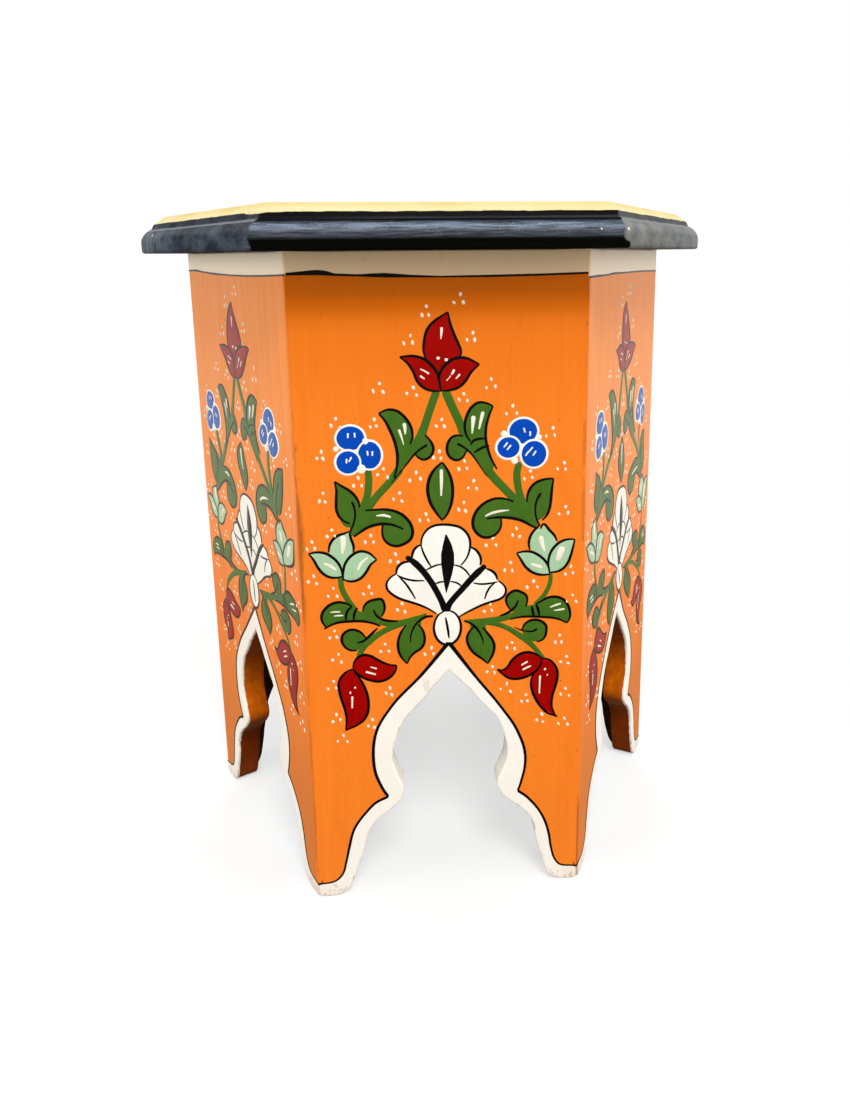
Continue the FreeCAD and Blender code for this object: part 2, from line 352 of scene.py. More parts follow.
class Shader:
    """A material, or the world's surround, under construction."""

    def __init__(self, made):
        self.made = made
        made.use_nodes = True
        self.tree = made.node_tree
        self.tree.nodes.clear()
        self.place = self.node("ShaderNodeTexCoord", {}, {}, "Object")

    def node(self, kind, settings, inputs, output=0):
        """Adds a node: its settings first, then the value or link of each input."""
        made = self.tree.nodes.new(kind)
        for setting, value in settings.items():
            setattr(made, setting, value)
        for label, value in inputs.items():
            if isinstance(value, Value):
                self.tree.links.new(value.socket, made.inputs[label])
            else:
                made.inputs[label].default_value = value
        return Value(self, made.outputs[output])

    def math(self, operation, *terms):
        """A Math node on these terms."""
        return self.node("ShaderNodeMath", dict(operation=operation), dict(enumerate(terms)))

    def noise(self, frequency, detail=3.0, roughness=0.5, shift=0.0):
        """Noise with its own frequency along each axis, per metre, drawn to run from 0 to 1."""
        place = self.node("ShaderNodeMapping", {}, {
            "Vector": self.place, "Scale": frequency, "Location": (shift, shift, shift)})
        raw = self.node("ShaderNodeTexNoise", dict(noise_dimensions="3D"), {
            "Vector": place, "Scale": 1.0, "Detail": detail, "Roughness": roughness})
        return raw.ramp(0.28, 0.72)

    def attribute(self, label):
        """A number that the mesh carries."""
        return self.node("ShaderNodeAttribute", dict(attribute_name=label), {}, "Fac")

    def mix(self, factor, first, second):
        """One colour towards another; a colour is a tone or another mix."""
        return self.node("ShaderNodeMix", dict(data_type="RGBA"),
                         {"Factor": factor, 6: first, 7: second}, 2)

    def axis(self, name):
        """How far a place is along X, Y or Z, in metres."""
        return self.node("ShaderNodeSeparateXYZ", {}, {"Vector": self.place}, name)

    def beside(self):
        """1 on every board but the front one, 0 on its face."""
        return self.axis("Y").ramp(-150.8 * mm, -147 * mm)

    def varnish(self):
        """How thick the varnish is: whole under the top, rubbed thin towards the feet and all
        over the front."""
        return (self.axis("Z").ramp(80 * mm, 320 * mm) * 0.92 + 0.08) * (
            self.beside() * 0.76 + 0.24)

    def seen(self):
        """1 to the camera, also in a reflection or through glass, and 0 to the light itself."""
        camera_ray, glossy_ray, through_ray = (
            self.node("ShaderNodeLightPath", {}, {}, kind)
            for kind in ("Is Camera Ray", "Is Glossy Ray", "Is Transmission Ray"))
        return self.math("MAXIMUM", self.math("MAXIMUM", glossy_ray, through_ray), camera_ray)

    def end(self, surface, kind="ShaderNodeOutputMaterial"):
        """Sends a surface to the output."""
        self.tree.links.new(surface.socket, self.tree.nodes.new(kind).inputs["Surface"])
        return self.made

    def finish(self, colour, roughness, height, depth, **others):
        """The surface: colour, roughness, bumps from a height times a depth in metres, and
        others by their names with _ for a space."""
        bump = self.node("ShaderNodeBump", {}, {"Height": height, "Distance": depth,
                                                "Strength": 1.0}, "Normal")
        settings = {"Base Color": colour, "Roughness": roughness, "Normal": bump,
                    "Specular IOR Level": 0.0, "Coat IOR": 1.33, "Coat Roughness": 0.35,
                    "Sheen Weight": 0.2, "Sheen Roughness": 0.35,
                    "Sheen Tint": tone(255, 232, 190)}
        settings.update({label.replace("_", " "): value for label, value in others.items()})
        return self.end(self.node("ShaderNodeBsdfPrincipled", {}, settings))


def material(name):
    """A new material to build."""
    return Shader(bpy.data.materials.new(name))


def tone(red, green, blue):
    """A colour as it is seen, out of 255, as the light that it stands for."""
    share = np.array([red, green, blue]) / 255
    light = np.where(share <= 0.04045, share / 12.92, ((share + 0.055) / 1.055) ** 2.4)
    return (*light.tolist(), 1.0)


def board_finish():
    """Orange and cream paint over softwood, laid on with upright brush strokes."""
    s = material("painted_board")
    cream, wear, bare = (s.attribute(label) for label in ("cream", "wear", "bare"))
    x, up, beside = s.axis("X"), s.axis("Z"), s.beside()
    half = side_width / 2
    strokes = s.noise((480, 480, 7), 4)
    grain = s.noise((160, 160, 4), 3, shift=7)
    clouds = s.noise((22, 22, 14), 3, shift=3)
    fine = s.noise((900, 900, 500), 2, shift=5)
    pits = s.noise((260, 260, 160), 4, 0.65, shift=53)

    # The orange: brushed, with painted shadow of the top's overhang on the upper front board,
    # painted sheen making the other boards paler high up, painted shade low on them, and hairlines
    # and specks of dirt.
    orange = s.mix(strokes * 0.5 + grain * 0.3, tone(252, 129, 34), tone(254, 138, 46))
    orange = s.mix(clouds * 0.3, orange, tone(243, 123, 38))
    rubbed = s.noise((70, 70, 12), 5, 0.65, shift=11).ramp(0.78, 1.0)
    orange = s.mix(rubbed * 0.14, orange, tone(206, 104, 34))
    hairs = s.noise((1500, 1500, 9), 2, shift=43).ramp(0.55, 1.0)
    orange = s.mix(hairs * (beside * 0.12 + 0.06), orange, tone(190, 92, 38))
    # Painted shadow of the top's overhang on the front board: a broad darkening and a sharper step.
    painted_overhang_shadow = up.ramp(300 * mm, 385 * mm) * 0.45 + up.ramp(380 * mm, 390 * mm) * 0.45
    orange = s.mix(painted_overhang_shadow * (1 - beside), orange, tone(224, 108, 6))
    # Painted sheen: the boards beside the front are paler higher up.
    painted_side_sheen = beside * up.ramp(150 * mm, 350 * mm)
    orange = s.mix(painted_side_sheen * 0.6, orange, tone(252, 150, 48))
    # Painted shade: the boards beside the front are darker towards their feet.
    painted_low_shade = beside * (180 * mm - up).ramp(0, 130 * mm)
    orange = s.mix(painted_low_shade * 0.6, orange, tone(200, 112, 56))
    specks = (s.noise((600, 600, 540), 1, shift=31).ramp(0.97, 1.0)
              * s.noise((55, 55, 55), 2, shift=37).ramp(0.94, 1.0))
    orange = s.mix(specks * 0.7, orange, tone(120, 60, 20))

    # The cream: painted warm shade in the band under the top, stained at the soles and smudged.
    pale = s.mix(clouds * 0.6 + strokes * 0.25, tone(255, 251, 241), tone(251, 242, 225))
    # Painted shade: the band's cream is warmer and darker on the front board than beside it.
    painted_band_shade = s.mix(beside, tone(255, 218, 168), tone(255, 234, 202))
    pale = s.mix((up - 404 * mm).ramp(0, 4 * mm) * 0.9, pale, painted_band_shade)
    pale = s.mix((14 * mm - up).ramp(0, 12 * mm) * clouds * 0.5, pale, tone(230, 176, 132))
    smudge = s.noise((95, 95, 70), 4, 0.6, shift=19).ramp(0.94, 1.0)
    pale = s.mix(smudge * 0.2, pale, tone(186, 150, 112))

    # What wears through both: scuffs on the corners, most where hands hold them, the front's
    # rubbed left edge and the open joints low down, and dirt at the soles.
    paint = s.mix(cream, orange, pale)
    held = up.near(280 * mm, 75 * mm, 20 * mm)
    scuffs = (s.noise((150, 150, 30), 4, 0.65, shift=41) * 0.7 + wear * 0.2
              + held * 0.25).ramp(0.76, 0.98) * wear.ramp(0.05, 0.6)
    paint = s.mix(scuffs * 0.4, paint, tone(176, 97, 40))
    rubbed_edge = (x.ramp(5 * mm - half, 0.5 * mm - half) * up.near(262 * mm, 85 * mm, 20 * mm)
                   * s.noise((170, 170, 34), 4, 0.65, shift=61).ramp(0.3, 0.8))
    joint = (x.ramp(1.7 * mm - half, 0.3 * mm - half) * (310 * mm - up).ramp(0, 50 * mm) * 0.6
             + x.ramp(half - 1.7 * mm, half - 0.3 * mm) * (75 * mm - up).ramp(0, 30 * mm))
    rubbed_edge = rubbed_edge + joint * s.noise((220, 220, 26), 4, 0.6, shift=67).ramp(0.2, 0.7)
    paint = s.mix(rubbed_edge.ramp(0, 1) * (1 - beside) * 0.6, paint, tone(146, 78, 28))
    spots = s.noise((420, 420, 420), 2, shift=47).ramp(0.72, 0.9)
    spots = spots * (12 * mm - up).ramp(0, 6 * mm)
    paint = s.mix(spots * 0.35, paint, tone(120, 90, 66))

    # The wood: stained brown, with ruddy painted light where light comes in low through the arches,
    # and painted shade that makes it dark inside.
    chips = (s.noise((330, 330, 120), 4, 0.7, shift=23) * wear).ramp(0.86, 0.98)
    # Painted light: a ruddy glow on the bare wood between about 60 and 150 mm up.
    painted_arch_light = (up - 62 * mm).ramp(0, 20 * mm) * (152 * mm - up).ramp(0, 68 * mm)
    stain = s.mix(clouds, tone(120, 44, 6), tone(160, 68, 10))
    wood = s.mix(painted_arch_light * 0.9, stain, tone(228, 112, 8))
    wood = s.mix(pits * 0.4 + grain * 0.15, wood, tone(112, 44, 6))
    # Painted shade: the inner faces are made almost black.
    wood = s.mix((bare - 1.1).ramp(0, 0.8) * 0.9, wood, tone(34, 18, 9))
    laid = (bare + pits * 0.3 + fine * 0.1 - 0.36).ramp(0, 0.15)
    colour = s.mix(chips * 0.6, paint, tone(140, 78, 36))
    colour = s.mix(laid, colour, wood)
    height = strokes * 0.5 + grain * 0.3 + fine * 0.2 - chips * 0.8
    return s.finish(colour, 0.48 + strokes * 0.08 + laid * 0.3, height, 0.1 * mm,
                    Coat_Weight=s.varnish() * (1 - laid) * (1 - hairs * 0.6))


board_material = board_finish()
for number, side_name in enumerate(side_names):
    rings, grids = board_rings(number)
    board = skin("board_" + side_name, [(0, rings)], [board_material],
                 {label: [grid] for label, grid in zip(("cream", "wear", "bare"), grids)})
    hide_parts("panel_" + side_name)
    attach(board, "root")

# The border lines: black, drawn with a thin brush along the edge of the orange after both grounds
# had dried. Brush work stands up a little from the ground, so every stroke is a thin closed form.
sunk = 0.06                 # millimetres by which the edge of a stroke dips into the ground
ground_rise = 0.07          # millimetres, heights of the layers of brush work
fill_rise = 0.10
line_rise = 0.17
fleck_rise = 0.21
layer_step = 0.002          # each stroke lies a little over the one before
line_width = 1.35           # millimetres
line_taper_shares = np.array([0.7, 1.15, 1.25, 1.15, 0.7])
brush_profile = np.array([(-1.1, 0), (-1, 0.8), (0, 1), (1, 0.8), (1.1, 0)])
end_steps = np.array([0.0, 0.12, 0.38, 0.7, 1.0])
stroke_step = 1.6           # millimetres between the rings of a stroke
tip_share = 0.15            # of a step: a filled shape is blunt by that much at its tips
fill_profile = np.array([(0, 0), (0.05, 0.85), (0.3, 1), (0.7, 1), (0.95, 0.85), (1, 0)])
pool_edge = 0.3             # millimetres in which a pool of paint rises to its full height


def curve(points, count, closed=False):
    """A smooth line through points, in equal steps: between neighbours it is the cubic whose slope
    at each point follows the chords on both sides of it."""
    given = np.array(points, float)
    if closed:
        given = np.vstack([given[-2:], given, given[:3]])
    along = np.concatenate([[0], np.cumsum(np.hypot(*np.diff(given, axis=0).T))])
    slopes = np.gradient(given, along, axis=0)
    first, last = (along[2], along[-3]) if closed else (along[0], along[-1])
    steps = np.linspace(first, last, count, endpoint=not closed)
    here = np.clip(np.searchsorted(along, steps, side="right") - 1, 0, len(along) - 2)
    gap = (along[here + 1] - along[here])[:, None]
    share = (steps - along[here])[:, None] / gap
    rest = 1 - share
    return (given[here] * (1 + 2 * share) * rest ** 2 + slopes[here] * gap * share * rest ** 2
            + given[here + 1] * (1 + 2 * rest) * share ** 2
            - slopes[here + 1] * gap * rest * share ** 2)


def steps_for(points):
    """How many steps a line through points needs."""
    length = np.hypot(*np.diff(np.array(points, float), axis=0).T).sum()
    return max(6, round(length / stroke_step) + 1)


def raised(flat, heights, rise):
    """Rings on the drawing lifted by a profile, from under the ground at 0 to the rise at 1."""
    return np.dstack([flat, np.broadcast_to(heights * (rise + sunk) - sunk, flat.shape[:2])])


def stroke(colour, points, widths, rise=line_rise):
    """A brush stroke: a low rounded section carried along a smooth line. The widths follow each
    other in equal steps, and both ends are rounded off like a circle."""
    line = curve(points, 4 * steps_for(points))
    along = np.concatenate([[0], np.cumsum(np.hypot(*np.diff(line, axis=0).T))])
    length = along[-1]
    ends = [min(width / 2, length / 3) for width in (widths[0], widths[-1])]
    middle = np.linspace(ends[0], length - ends[1], steps_for(points))[1:-1]
    places = np.concatenate([ends[0] * end_steps, middle, length - ends[1] * end_steps[::-1]])
    line = np.stack([np.interp(places, along, line[:, axis]) for axis in (0, 1)], axis=1)
    ahead = np.gradient(line, axis=0)
    side = np.stack([-ahead[:, 1], ahead[:, 0]], axis=1)
    side /= np.maximum(np.linalg.norm(side, axis=1), 1e-9)[:, None]
    full = np.interp(places / length, np.linspace(0, 1, len(widths)), widths) / 2
    from_end = np.minimum(places / ends[0], (length - places) / ends[1])
    full *= np.sqrt(np.maximum(1 - np.maximum(1 - from_end, 0) ** 2, 0.002))
    flat = line[:, None] + side[:, None] * (full[:, None] * brush_profile[:, 0])[:, :, None]
    return colour, raised(flat, brush_profile[:, 1], rise)


def fill(colour, edge, other, rise=fill_rise):
    """Colour laid between two edges that start and end together: a low flat-topped section runs
    straight across from one edge to the other."""
    count = max(steps_for(edge), steps_for(other))
    first, second = (curve(points, count)[:, None] for points in (edge, other))
    flat = first + (second - first) * fill_profile[:, :1]
    rings = raised(flat, fill_profile[:, 1], rise)
    rings[0] += (rings[1] - rings[0]) * tip_share
    rings[-1] += (rings[-2] - rings[-1]) * tip_share
    return colour, rings


def pool(colour, outline, rise=fill_rise):
    """Colour inside a closed outline: rings that shrink towards its middle and rise."""
    edge = curve(outline, steps_for([*outline, outline[0]]), closed=True)
    middle = edge.mean(axis=0)
    inward = (middle - edge) / np.linalg.norm(middle - edge, axis=1)[:, None]
    flat = np.stack([edge, edge + inward * pool_edge, edge + inward * pool_edge * 2,
                     middle + (edge - middle) * 0.04])
    return colour, raised(flat, np.array([[0], [0.85], [1], [1]]), rise)


def line(points, width=line_width):
    """A black line that swells a little in its middle."""
    return stroke("black", points, line_taper_shares * width)


def stem(points, widths):
    """A green stalk, low enough for the leaves to lie over it."""
    return stroke("green", points, widths, ground_rise)


def fleck(points, widths, rise=fleck_rise):
    """A touch of cream over a colour."""
    return stroke("cream", points, widths, rise)


# The same motifs were painted again by hand on each board. These marks are a place on the front's
# drawing, the same place on the front left board, and that on the front right board. The last
# ones, beside the board, hold the paint there still.
marks = np.array([
    (-10.3, 370, -15.5, 369, -8, 368), (12, 366.5, 9.5, 368, 13.5, 364),
    (-1.5, 352, -4.5, 353, 0, 353), (0.5, 377, -4.5, 380, 0.5, 378),
    (4.5, 388.8, -3.5, 392.5, 1.5, 389.0), (-24, 363.3, -32, 362, -22, 358),
    (22.7, 358, 23.5, 363.5, 30, 357), (0, 342.7, -4, 342, 0, 342),
    (-37.4, 330.2, -42, 332, -37.5, 330.5), (30.7, 332.8, 31.5, 331, 33, 330.5),
    (-11.7, 301.3, -15, 302.5, -10, 296.5), (8.8, 300.3, 4.5, 301.5, 8, 296),
    (-51.5, 309, -58.5, 313.5, -54, 308.5), (-57, 298, -66, 301.5, -59.5, 296.5),
    (49, 317, 49.5, 321.5, 51.5, 315.5), (48, 303, 47, 306.5, 53, 301),
    (-0.2, 299.3, -3, 298, 0.5, 295), (-0.5, 263, 1.5, 265.5, 1.5, 262),
    (-64.8, 289.4, -70, 290, -63.5, 284), (67.8, 287, 67.3, 293.5, 66.5, 288),
    (-29.5, 247.4, -30, 246, -29, 242), (27, 250.7, 28.5, 249, 30, 245.5),
    (-41, 271, -40, 274, -42, 268.5), (33, 275.4, 33, 276, 42, 270),
    (-57.3, 258, -62, 255, -61, 253.5), (-82.3, 244.7, -83.5, 244, -81, 238.5),
    (-62.4, 226, -63, 226.5, -60, 221), (61.8, 258, 58.5, 259, 64, 252.5),
    (81.8, 247.2, 78.5, 250.5, 82, 247), (66, 224.5, 60.5, 228.5, 67, 222),
    (0, 260, -0.5, 261.5, 0.5, 257.5), (-35.9, 222, -37, 221, -31, 219),
    (38.4, 215, 39, 219, 38, 213), (1, 203, 3.5, 204.5, 2, 199.5),
    (1.3, 180.4, 3.5, 180.5, 4.5, 178.5), (-24.7, 168.8, -23.5, 167, -20, 161),
    (26.8, 166, 28.5, 169.5, 33, 161), (-74.5, 195.2, -79, 195.5, -75, 188),
    (-43.5, 213, -44.5, 216, -43.5, 209.5), (77.6, 191.2, 78.5, 194, 80, 189),
    (44.5, 214.9, 46.5, 219.5, 50, 210), (-57.5, 187, -58, 187, -56, 182),
    (58, 187, 59.5, 190, 66, 182), (-31.2, 168.1, -28, 169, -28.5, 158.5),
    (-64.8, 124.6, -61, 131.5, -66, 118), (-68, 157, -67.5, 155, -68, 150),
    (32.8, 161.6, 35.5, 163.5, 42, 154), (72, 125.6, 71.5, 129, 74, 122),
    (50, 172.3, 53, 174.5, 60, 167.5), (72, 155, 72.5, 158, 78, 150)]
    + [(x, z) * 3 for x in (-91, 91) for z in range(110, 400, 20)])
mark_reach = 6.0            # millimetres round a mark in which its own shift counts
# How much each board takes after the front left and front right ones; the back ones mix them.
hand_shares = ((0, 0), (0, 1), (0.6, 0.3), (-0.6, 0.4), (0.4, -0.5), (1, 0))
body_places = [lambda rings, index=number: on_board(rings, index) for number in range(sides)]


def on_face(rings, index):
    """Brush work moved from the drawing to the face of a board."""
    across, up, height = np.moveaxis(rings, -1, 0) * mm
    points = np.stack([across, coat - body_apothem - height, up - floor_wear * mm], axis=-1)
    return turned(points.reshape(-1, 3), index).reshape(rings.shape)


def on_board(rings, index):
    """The same, painted in that board's own way. A point shifts by the mean of the marks' shifts,
    each weighted by 1 / (distance^2 + reach^2)^2."""
    gaps = rings[..., None, :2] - marks[:, :2]
    weights = 1 / ((gaps ** 2).sum(axis=-1) + mark_reach ** 2) ** 2
    shifts = sum(share * (marks[:, part:part + 2] - marks[:, :2])
                 for share, part in zip(hand_shares[index], (2, 4)))
    shift = (weights @ shifts) / weights.sum(axis=-1)[..., None]
    return on_face(np.dstack([rings[..., :2] + shift, rings[..., 2]]), index)


# Each colour: a thick tone, a thin tone, and a copy with painted light and shade for the side
# boards.
paint_tones = dict(
    black=(tone(2, 1, 1), tone(6, 5, 4), tone(14, 13, 3)),
    cream=(tone(252, 246, 232), tone(242, 230, 208), tone(252, 240, 214)),
    green=(tone(62, 103, 26), tone(72, 110, 34), tone(68, 98, 20)),
    red=(tone(168, 5, 0), tone(148, 2, 0), tone(156, 8, 0)),
    blue=(tone(0, 70, 190), tone(4, 76, 176), tone(0, 86, 166)),
    mint=(tone(178, 212, 168), tone(166, 202, 160), tone(180, 204, 164)),
    white=(tone(255, 251, 243), tone(250, 243, 230), tone(252, 247, 232)))
paints = {}


def paint(colour):
    """A brushed colour, made once: thin and thick places, and fine bristle marks. Its last tone
    is a copy for the boards beside the front, with painted light and shade for how light falls
    there."""
    if colour not in paints:
        s = material(colour + "_paint")
        bristle = s.noise((900, 900, 90), 3)
        thin = s.noise((120, 120, 60), 4, 0.6, shift=4)
        thick_tone, thin_tone, side_light_tone = paint_tones[colour]
        mixed = s.mix(thin * 0.7 + bristle * 0.3, thick_tone, thin_tone)
        # Painted light and shade: the boards beside the front take the side copy of each colour.
        mixed = s.mix(s.beside() * 0.8, mixed, side_light_tone)
        paints[colour] = s.finish(mixed, 0.42 + thin * 0.15, bristle * 0.5 + thin * 0.5, 0.06 * mm,
                                  Coat_Weight=s.varnish())
    return paints[colour]


def lay(name, drawing, places):
    """A piece of brush work: a drawing painted at each place, one material for each colour."""
    colours = sorted({colour for colour, _ in drawing})
    shells = [(colours.index(colour), place(rings + (0, 0, layer_step * (order % 9))))
              for place in places for order, (colour, rings) in enumerate(drawing)]
    piece = skin(name, shells, [paint(colour) for colour in colours], sharp=60)
    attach(piece, "root")


# Widths along each of the four strokes of a border's line, in millimetres.
border_widths = ((1.0, 1.3, 1.6, 1.5, 1.8), (1.4, 1.8, 1.6, 1.7, 2.6),
                 (2.6, 1.8, 1.6, 2.0, 1.8), (1.8, 1.5, 1.6, 1.3, 1.0))


def border_drawing(index):
    """The line round the arch, in four strokes that meet at the cusps and the point, and the
    uneven line under the cream band."""
    path = board_lines(index)[1] / mm + (0, floor_wear)
    last = len(path) - 1
    cusp = 6 * steps_per_arc
    stops = (0, cusp, last // 2, last - cusp, last)
    strokes = [stroke("black", path[a:b + 1:4], widths)
               for a, b, widths in zip(stops, stops[1:], border_widths)]
    reach = side_width / mm / 2 - 0.3
    across = np.linspace(-reach, reach, 45)
    edges = [np.stack([across, edge / mm + floor_wear], axis=1)
             for edge in band_edges(across * mm, index)]
    return strokes + [fill("black", *edges, line_rise)]


border_shells = [(0, on_face(rings, number)) for number in range(sides)
                 for _, rings in border_drawing(number)]
borders = skin("border_lines", border_shells, [paint("black")])
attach(borders, "root")

# The vines: green stems, scrolled leaves and sprays, each leaf edged in black with a thin brush and
# the large ones touched with cream.
upper_vines = [
    stem([(-2.6, 343.5), (-7, 331.5), (-10.8, 320.5), (-15, 310)], (4.6, 4.5, 4.7, 6.5)),
    stem([(2, 343.5), (6.3, 333), (10.5, 323.5), (15, 312)], (5, 4.9, 4.9, 6.5)),
    stem([(-25, 297), (-32, 288), (-39, 280.5), (-49, 268)], (5.4, 4.5, 4.5, 5.5)),
    stem([(24.5, 298), (30, 290), (38, 281), (50, 268)], (5.4, 5, 4.9, 5.5)),
    stem([(-44.8, 297), (-44.5, 289), (-45.5, 281), (-50, 268)], (3.9, 4.2, 4.3, 5.4)),
    stem([(46.6, 298), (45.2, 291), (46, 282), (50, 268)], (4, 4.4, 4.4, 5.4)),
    fill("green", [(-29.5, 290), (-27.5, 296.5), (-26.8, 303), (-28, 311), (-31.2, 320.5),
                   (-37.5, 330.3)],
         [(-29.5, 290), (-23, 298), (-16.5, 304.5), (-16.5, 313), (-18.3, 321), (-21.7, 327),
          (-28, 332), (-37.5, 330.3)]),
    pool("green", [(-17.5, 304.5), (-14, 302.5), (-11.5, 301.3), (-8.5, 302), (-6.2, 304.7),
                   (-5.4, 308.5), (-6.3, 311.5), (-8.5, 314.3), (-11, 317), (-15.5, 315),
                   (-18.5, 310)]),
    line([(-29.3, 290.5), (-27.7, 296), (-26.9, 303), (-28, 311.5), (-31, 320), (-34, 326),
          (-37.3, 330.2)], 1.5),
    line([(-19.2, 311), (-17.7, 316), (-18.5, 321.5), (-21.7, 327), (-26.5, 331.3), (-31.5, 332.3),
          (-37.3, 330.2)], 1.4),
    line([(-10.3, 316.5), (-7.7, 313.5), (-5.4, 308.5), (-6.2, 304.5), (-8.7, 302), (-11.7, 301.3),
          (-14.3, 302.6), (-16.5, 305)]),
    stroke("black", [(-8.9, 310.3), (-12.5, 308.3), (-16.3, 305.2), (-21, 299.5), (-26, 293.5),
                     (-31.3, 287.2)], (1.7, 1.3, 1.1, 0.9, 0.7, 0.4)),
    fleck([(-22.5, 324), (-22, 320.5), (-22, 317)], (2.2, 1.8, 0.7)),
    fleck([(-25.7, 320.3), (-24.2, 315.5), (-23, 310.7)], (1.6, 1.1, 0.4)),
    fill("green", [(26, 290), (19, 301.5), (15.5, 307), (14.5, 315), (13.6, 321), (16.3, 330),
                   (21.5, 335), (30.7, 332.8)],
         [(26, 290), (31.5, 296), (28.3, 303), (26.3, 312.5), (26.5, 321), (28.5, 328),
          (30.7, 332.8)]),
    pool("green", [(17.5, 305.5), (14, 304.5), (12, 301.8), (8.8, 300.4), (5.2, 301.6),
                   (3.2, 304.6), (2.8, 308.5), (4, 312.3), (6.7, 315), (10, 315.7), (13, 315.5),
                   (16.5, 313)]),
    line([(30.7, 332.8), (26.5, 334.8), (22, 335.2), (18, 332.6), (15, 327.5), (13.6, 321),
          (14.6, 315.5), (17, 311.5)], 1.4),
    line([(30.7, 332.8), (28.2, 327), (26.6, 321), (26.2, 313.5), (27.5, 306.5), (29.7, 300),
          (33, 294)]),
    line([(17, 309.5), (18.7, 312), (21.7, 313), (26, 313.2)]),
    line([(19, 304.7), (22, 306.5), (25, 308), (28.4, 308.7)]),
    line([(12.8, 314.9), (10, 315.6), (6.5, 315), (4, 312.3), (2.8, 308.5), (3.2, 304.5),
          (5.3, 301.6), (8.8, 300.3), (12, 301.8), (14.6, 306.2)]),
    stroke("black", [(8.9, 310.5), (12.5, 308.5), (16, 305.6), (20, 300.5), (23.5, 294.8),
                     (27.6, 289)], (1.6, 1.3, 1.1, 0.9, 0.6, 0.3)),
    fleck([(19, 327.3), (18.5, 322), (18, 316.3)], (2.9, 1.9, 0.6)),
    fleck([(24.7, 329.7), (23.3, 324), (22.2, 319)], (2.2, 1.7, 1.0)),
    fill("green", [(-49, 260.5), (-60, 261), (-64.3, 271), (-64.2, 280), (-64.8, 289.3)],
         [(-49, 260.5), (-48.5, 268), (-51.3, 276.5), (-56.5, 283.7), (-64.8, 289.3)]),
    line([(-64.8, 289.5), (-64, 284), (-64.4, 277), (-64.5, 272), (-63, 267.5), (-60.2, 264.5),
          (-56.5, 262.7)]),
    line([(-64.8, 289.5), (-60.5, 286.3), (-56.5, 283.7), (-53, 280), (-51, 276), (-50.5, 272.7)]),
    stroke("black", [(-55, 276.5), (-53.7, 272.5), (-53.4, 268), (-54.4, 263.3), (-56.2, 259),
                     (-57.4, 255.5)], (1.6, 1.3, 1.2, 1.2, 1.1)),
    fill("green", [(-58, 254.5), (-56.5, 261), (-53, 268), (-46, 271), (-36, 271), (-28.5, 269.2),
                   (-22, 264.3)],
         [(-58, 254.5), (-53, 255.5), (-47, 259.5), (-41, 261.5), (-36, 261.8), (-28, 261),
          (-22, 264.3)]),
    pool("green", [(-37, 262.5), (-37.6, 257), (-36.8, 252.5), (-33.6, 248.8), (-29.5, 247.4),
                   (-24, 248.8), (-20.4, 251.6), (-19, 256), (-20, 261), (-23, 265.5), (-28, 268),
                   (-33, 266)]),
    line([(-47.3, 270.8), (-41, 271), (-34, 270.8), (-28, 269), (-23, 265.3), (-20, 260.7),
          (-19, 256), (-20.3, 251.6), (-24, 248.8), (-29.5, 247.4), (-33.7, 248.9), (-36.8, 252.6),
          (-37.5, 257.3), (-37, 261.5)], 1.5),
    line([(-54.8, 254.3), (-51, 257), (-46, 260), (-41, 261.5), (-36, 261.9), (-31, 261),
          (-24.6, 258.1)], 1.5),
    fleck([(-40.8, 267.2), (-36, 267.3), (-32, 266)], (0.7, 1.6, 1.1)),
    fill("green", [(54, 259), (50.5, 267), (52.3, 278), (57.5, 285), (67.8, 287)],
         [(54, 259), (61, 261.5), (65.8, 268), (66.6, 278), (67.8, 287)]),
    line([(67.8, 287), (62, 286.5), (57.2, 284.8), (53.4, 281), (51.7, 276.5), (51.5, 272.5)]),
    line([(67.8, 287), (66.9, 280), (66.3, 273), (65.6, 268), (63.9, 263.5), (61, 260.4)], 1.4),
    stroke("black", [(60.2, 278), (57.8, 274), (56.7, 269), (57, 263.5), (58.3, 259.5),
                     (59.7, 256.5)], (1.8, 1.4, 1.2, 1.2, 1.1)),
    fill("green", [(59, 255), (57, 262), (52, 269), (44, 274), (33, 275.3), (25.5, 272.8),
                   (20.5, 266)],
         [(59, 255), (53, 258), (46, 261.5), (39, 263), (32, 263.3), (26, 263), (20.5, 266)]),
    pool("green", [(35.2, 263.5), (35.4, 258.5), (34, 254.6), (31, 252), (27, 250.8), (23.8, 251.4),
                   (20.6, 253.8), (18.4, 257.4), (18.1, 261.5), (19.6, 266.5), (23, 270),
                   (29, 269)]),
    line([(43.2, 273), (38, 275), (33, 275.5), (28, 274.2), (23, 271), (19.5, 266.5), (18, 261.5),
          (18.4, 257), (20.6, 253.5), (23.8, 251.1), (27, 250.6), (31, 251.8), (34, 254.5),
          (35.5, 258.5), (35.3, 262.5)], 1.5),
    line([(26.2, 262.8), (32, 263.3), (39, 263), (45, 261.8), (50, 259.8), (54, 257.3),
          (58.3, 255)], 1.5),
    fleck([(40.5, 267.7), (34, 267.2), (29, 266), (25.6, 264.4)], (0.5, 1.4, 1.6, 0.9)),
]
middle_leaf = [
    fill("green", [(-0.5, 263), (-3.3, 266), (-6.5, 271.5), (-8.8, 278), (-8.9, 286), (-6.5, 292.5),
                   (-0.2, 299.3)],
         [(-0.5, 263), (2.3, 267), (4.7, 272), (5.8, 280), (5, 288.5), (2.6, 295), (-0.2, 299.3)]),
    line([(-0.2, 299.3), (-4, 296), (-7.3, 291.5), (-9, 286), (-9.2, 280), (-7.7, 274), (-4.5, 268),
          (-0.6, 262.6)], 1.6),
    line([(-0.2, 299.3), (2.5, 295), (4.8, 289.5), (5.8, 283.5), (5.6, 277), (4.2, 271),
          (2.2, 266.5), (-0.3, 263.2)], 1.5),
    fleck([(-0.8, 295), (-0.9, 287), (-1.2, 278.2)], (2.0, 1.9, 0.9)),
]
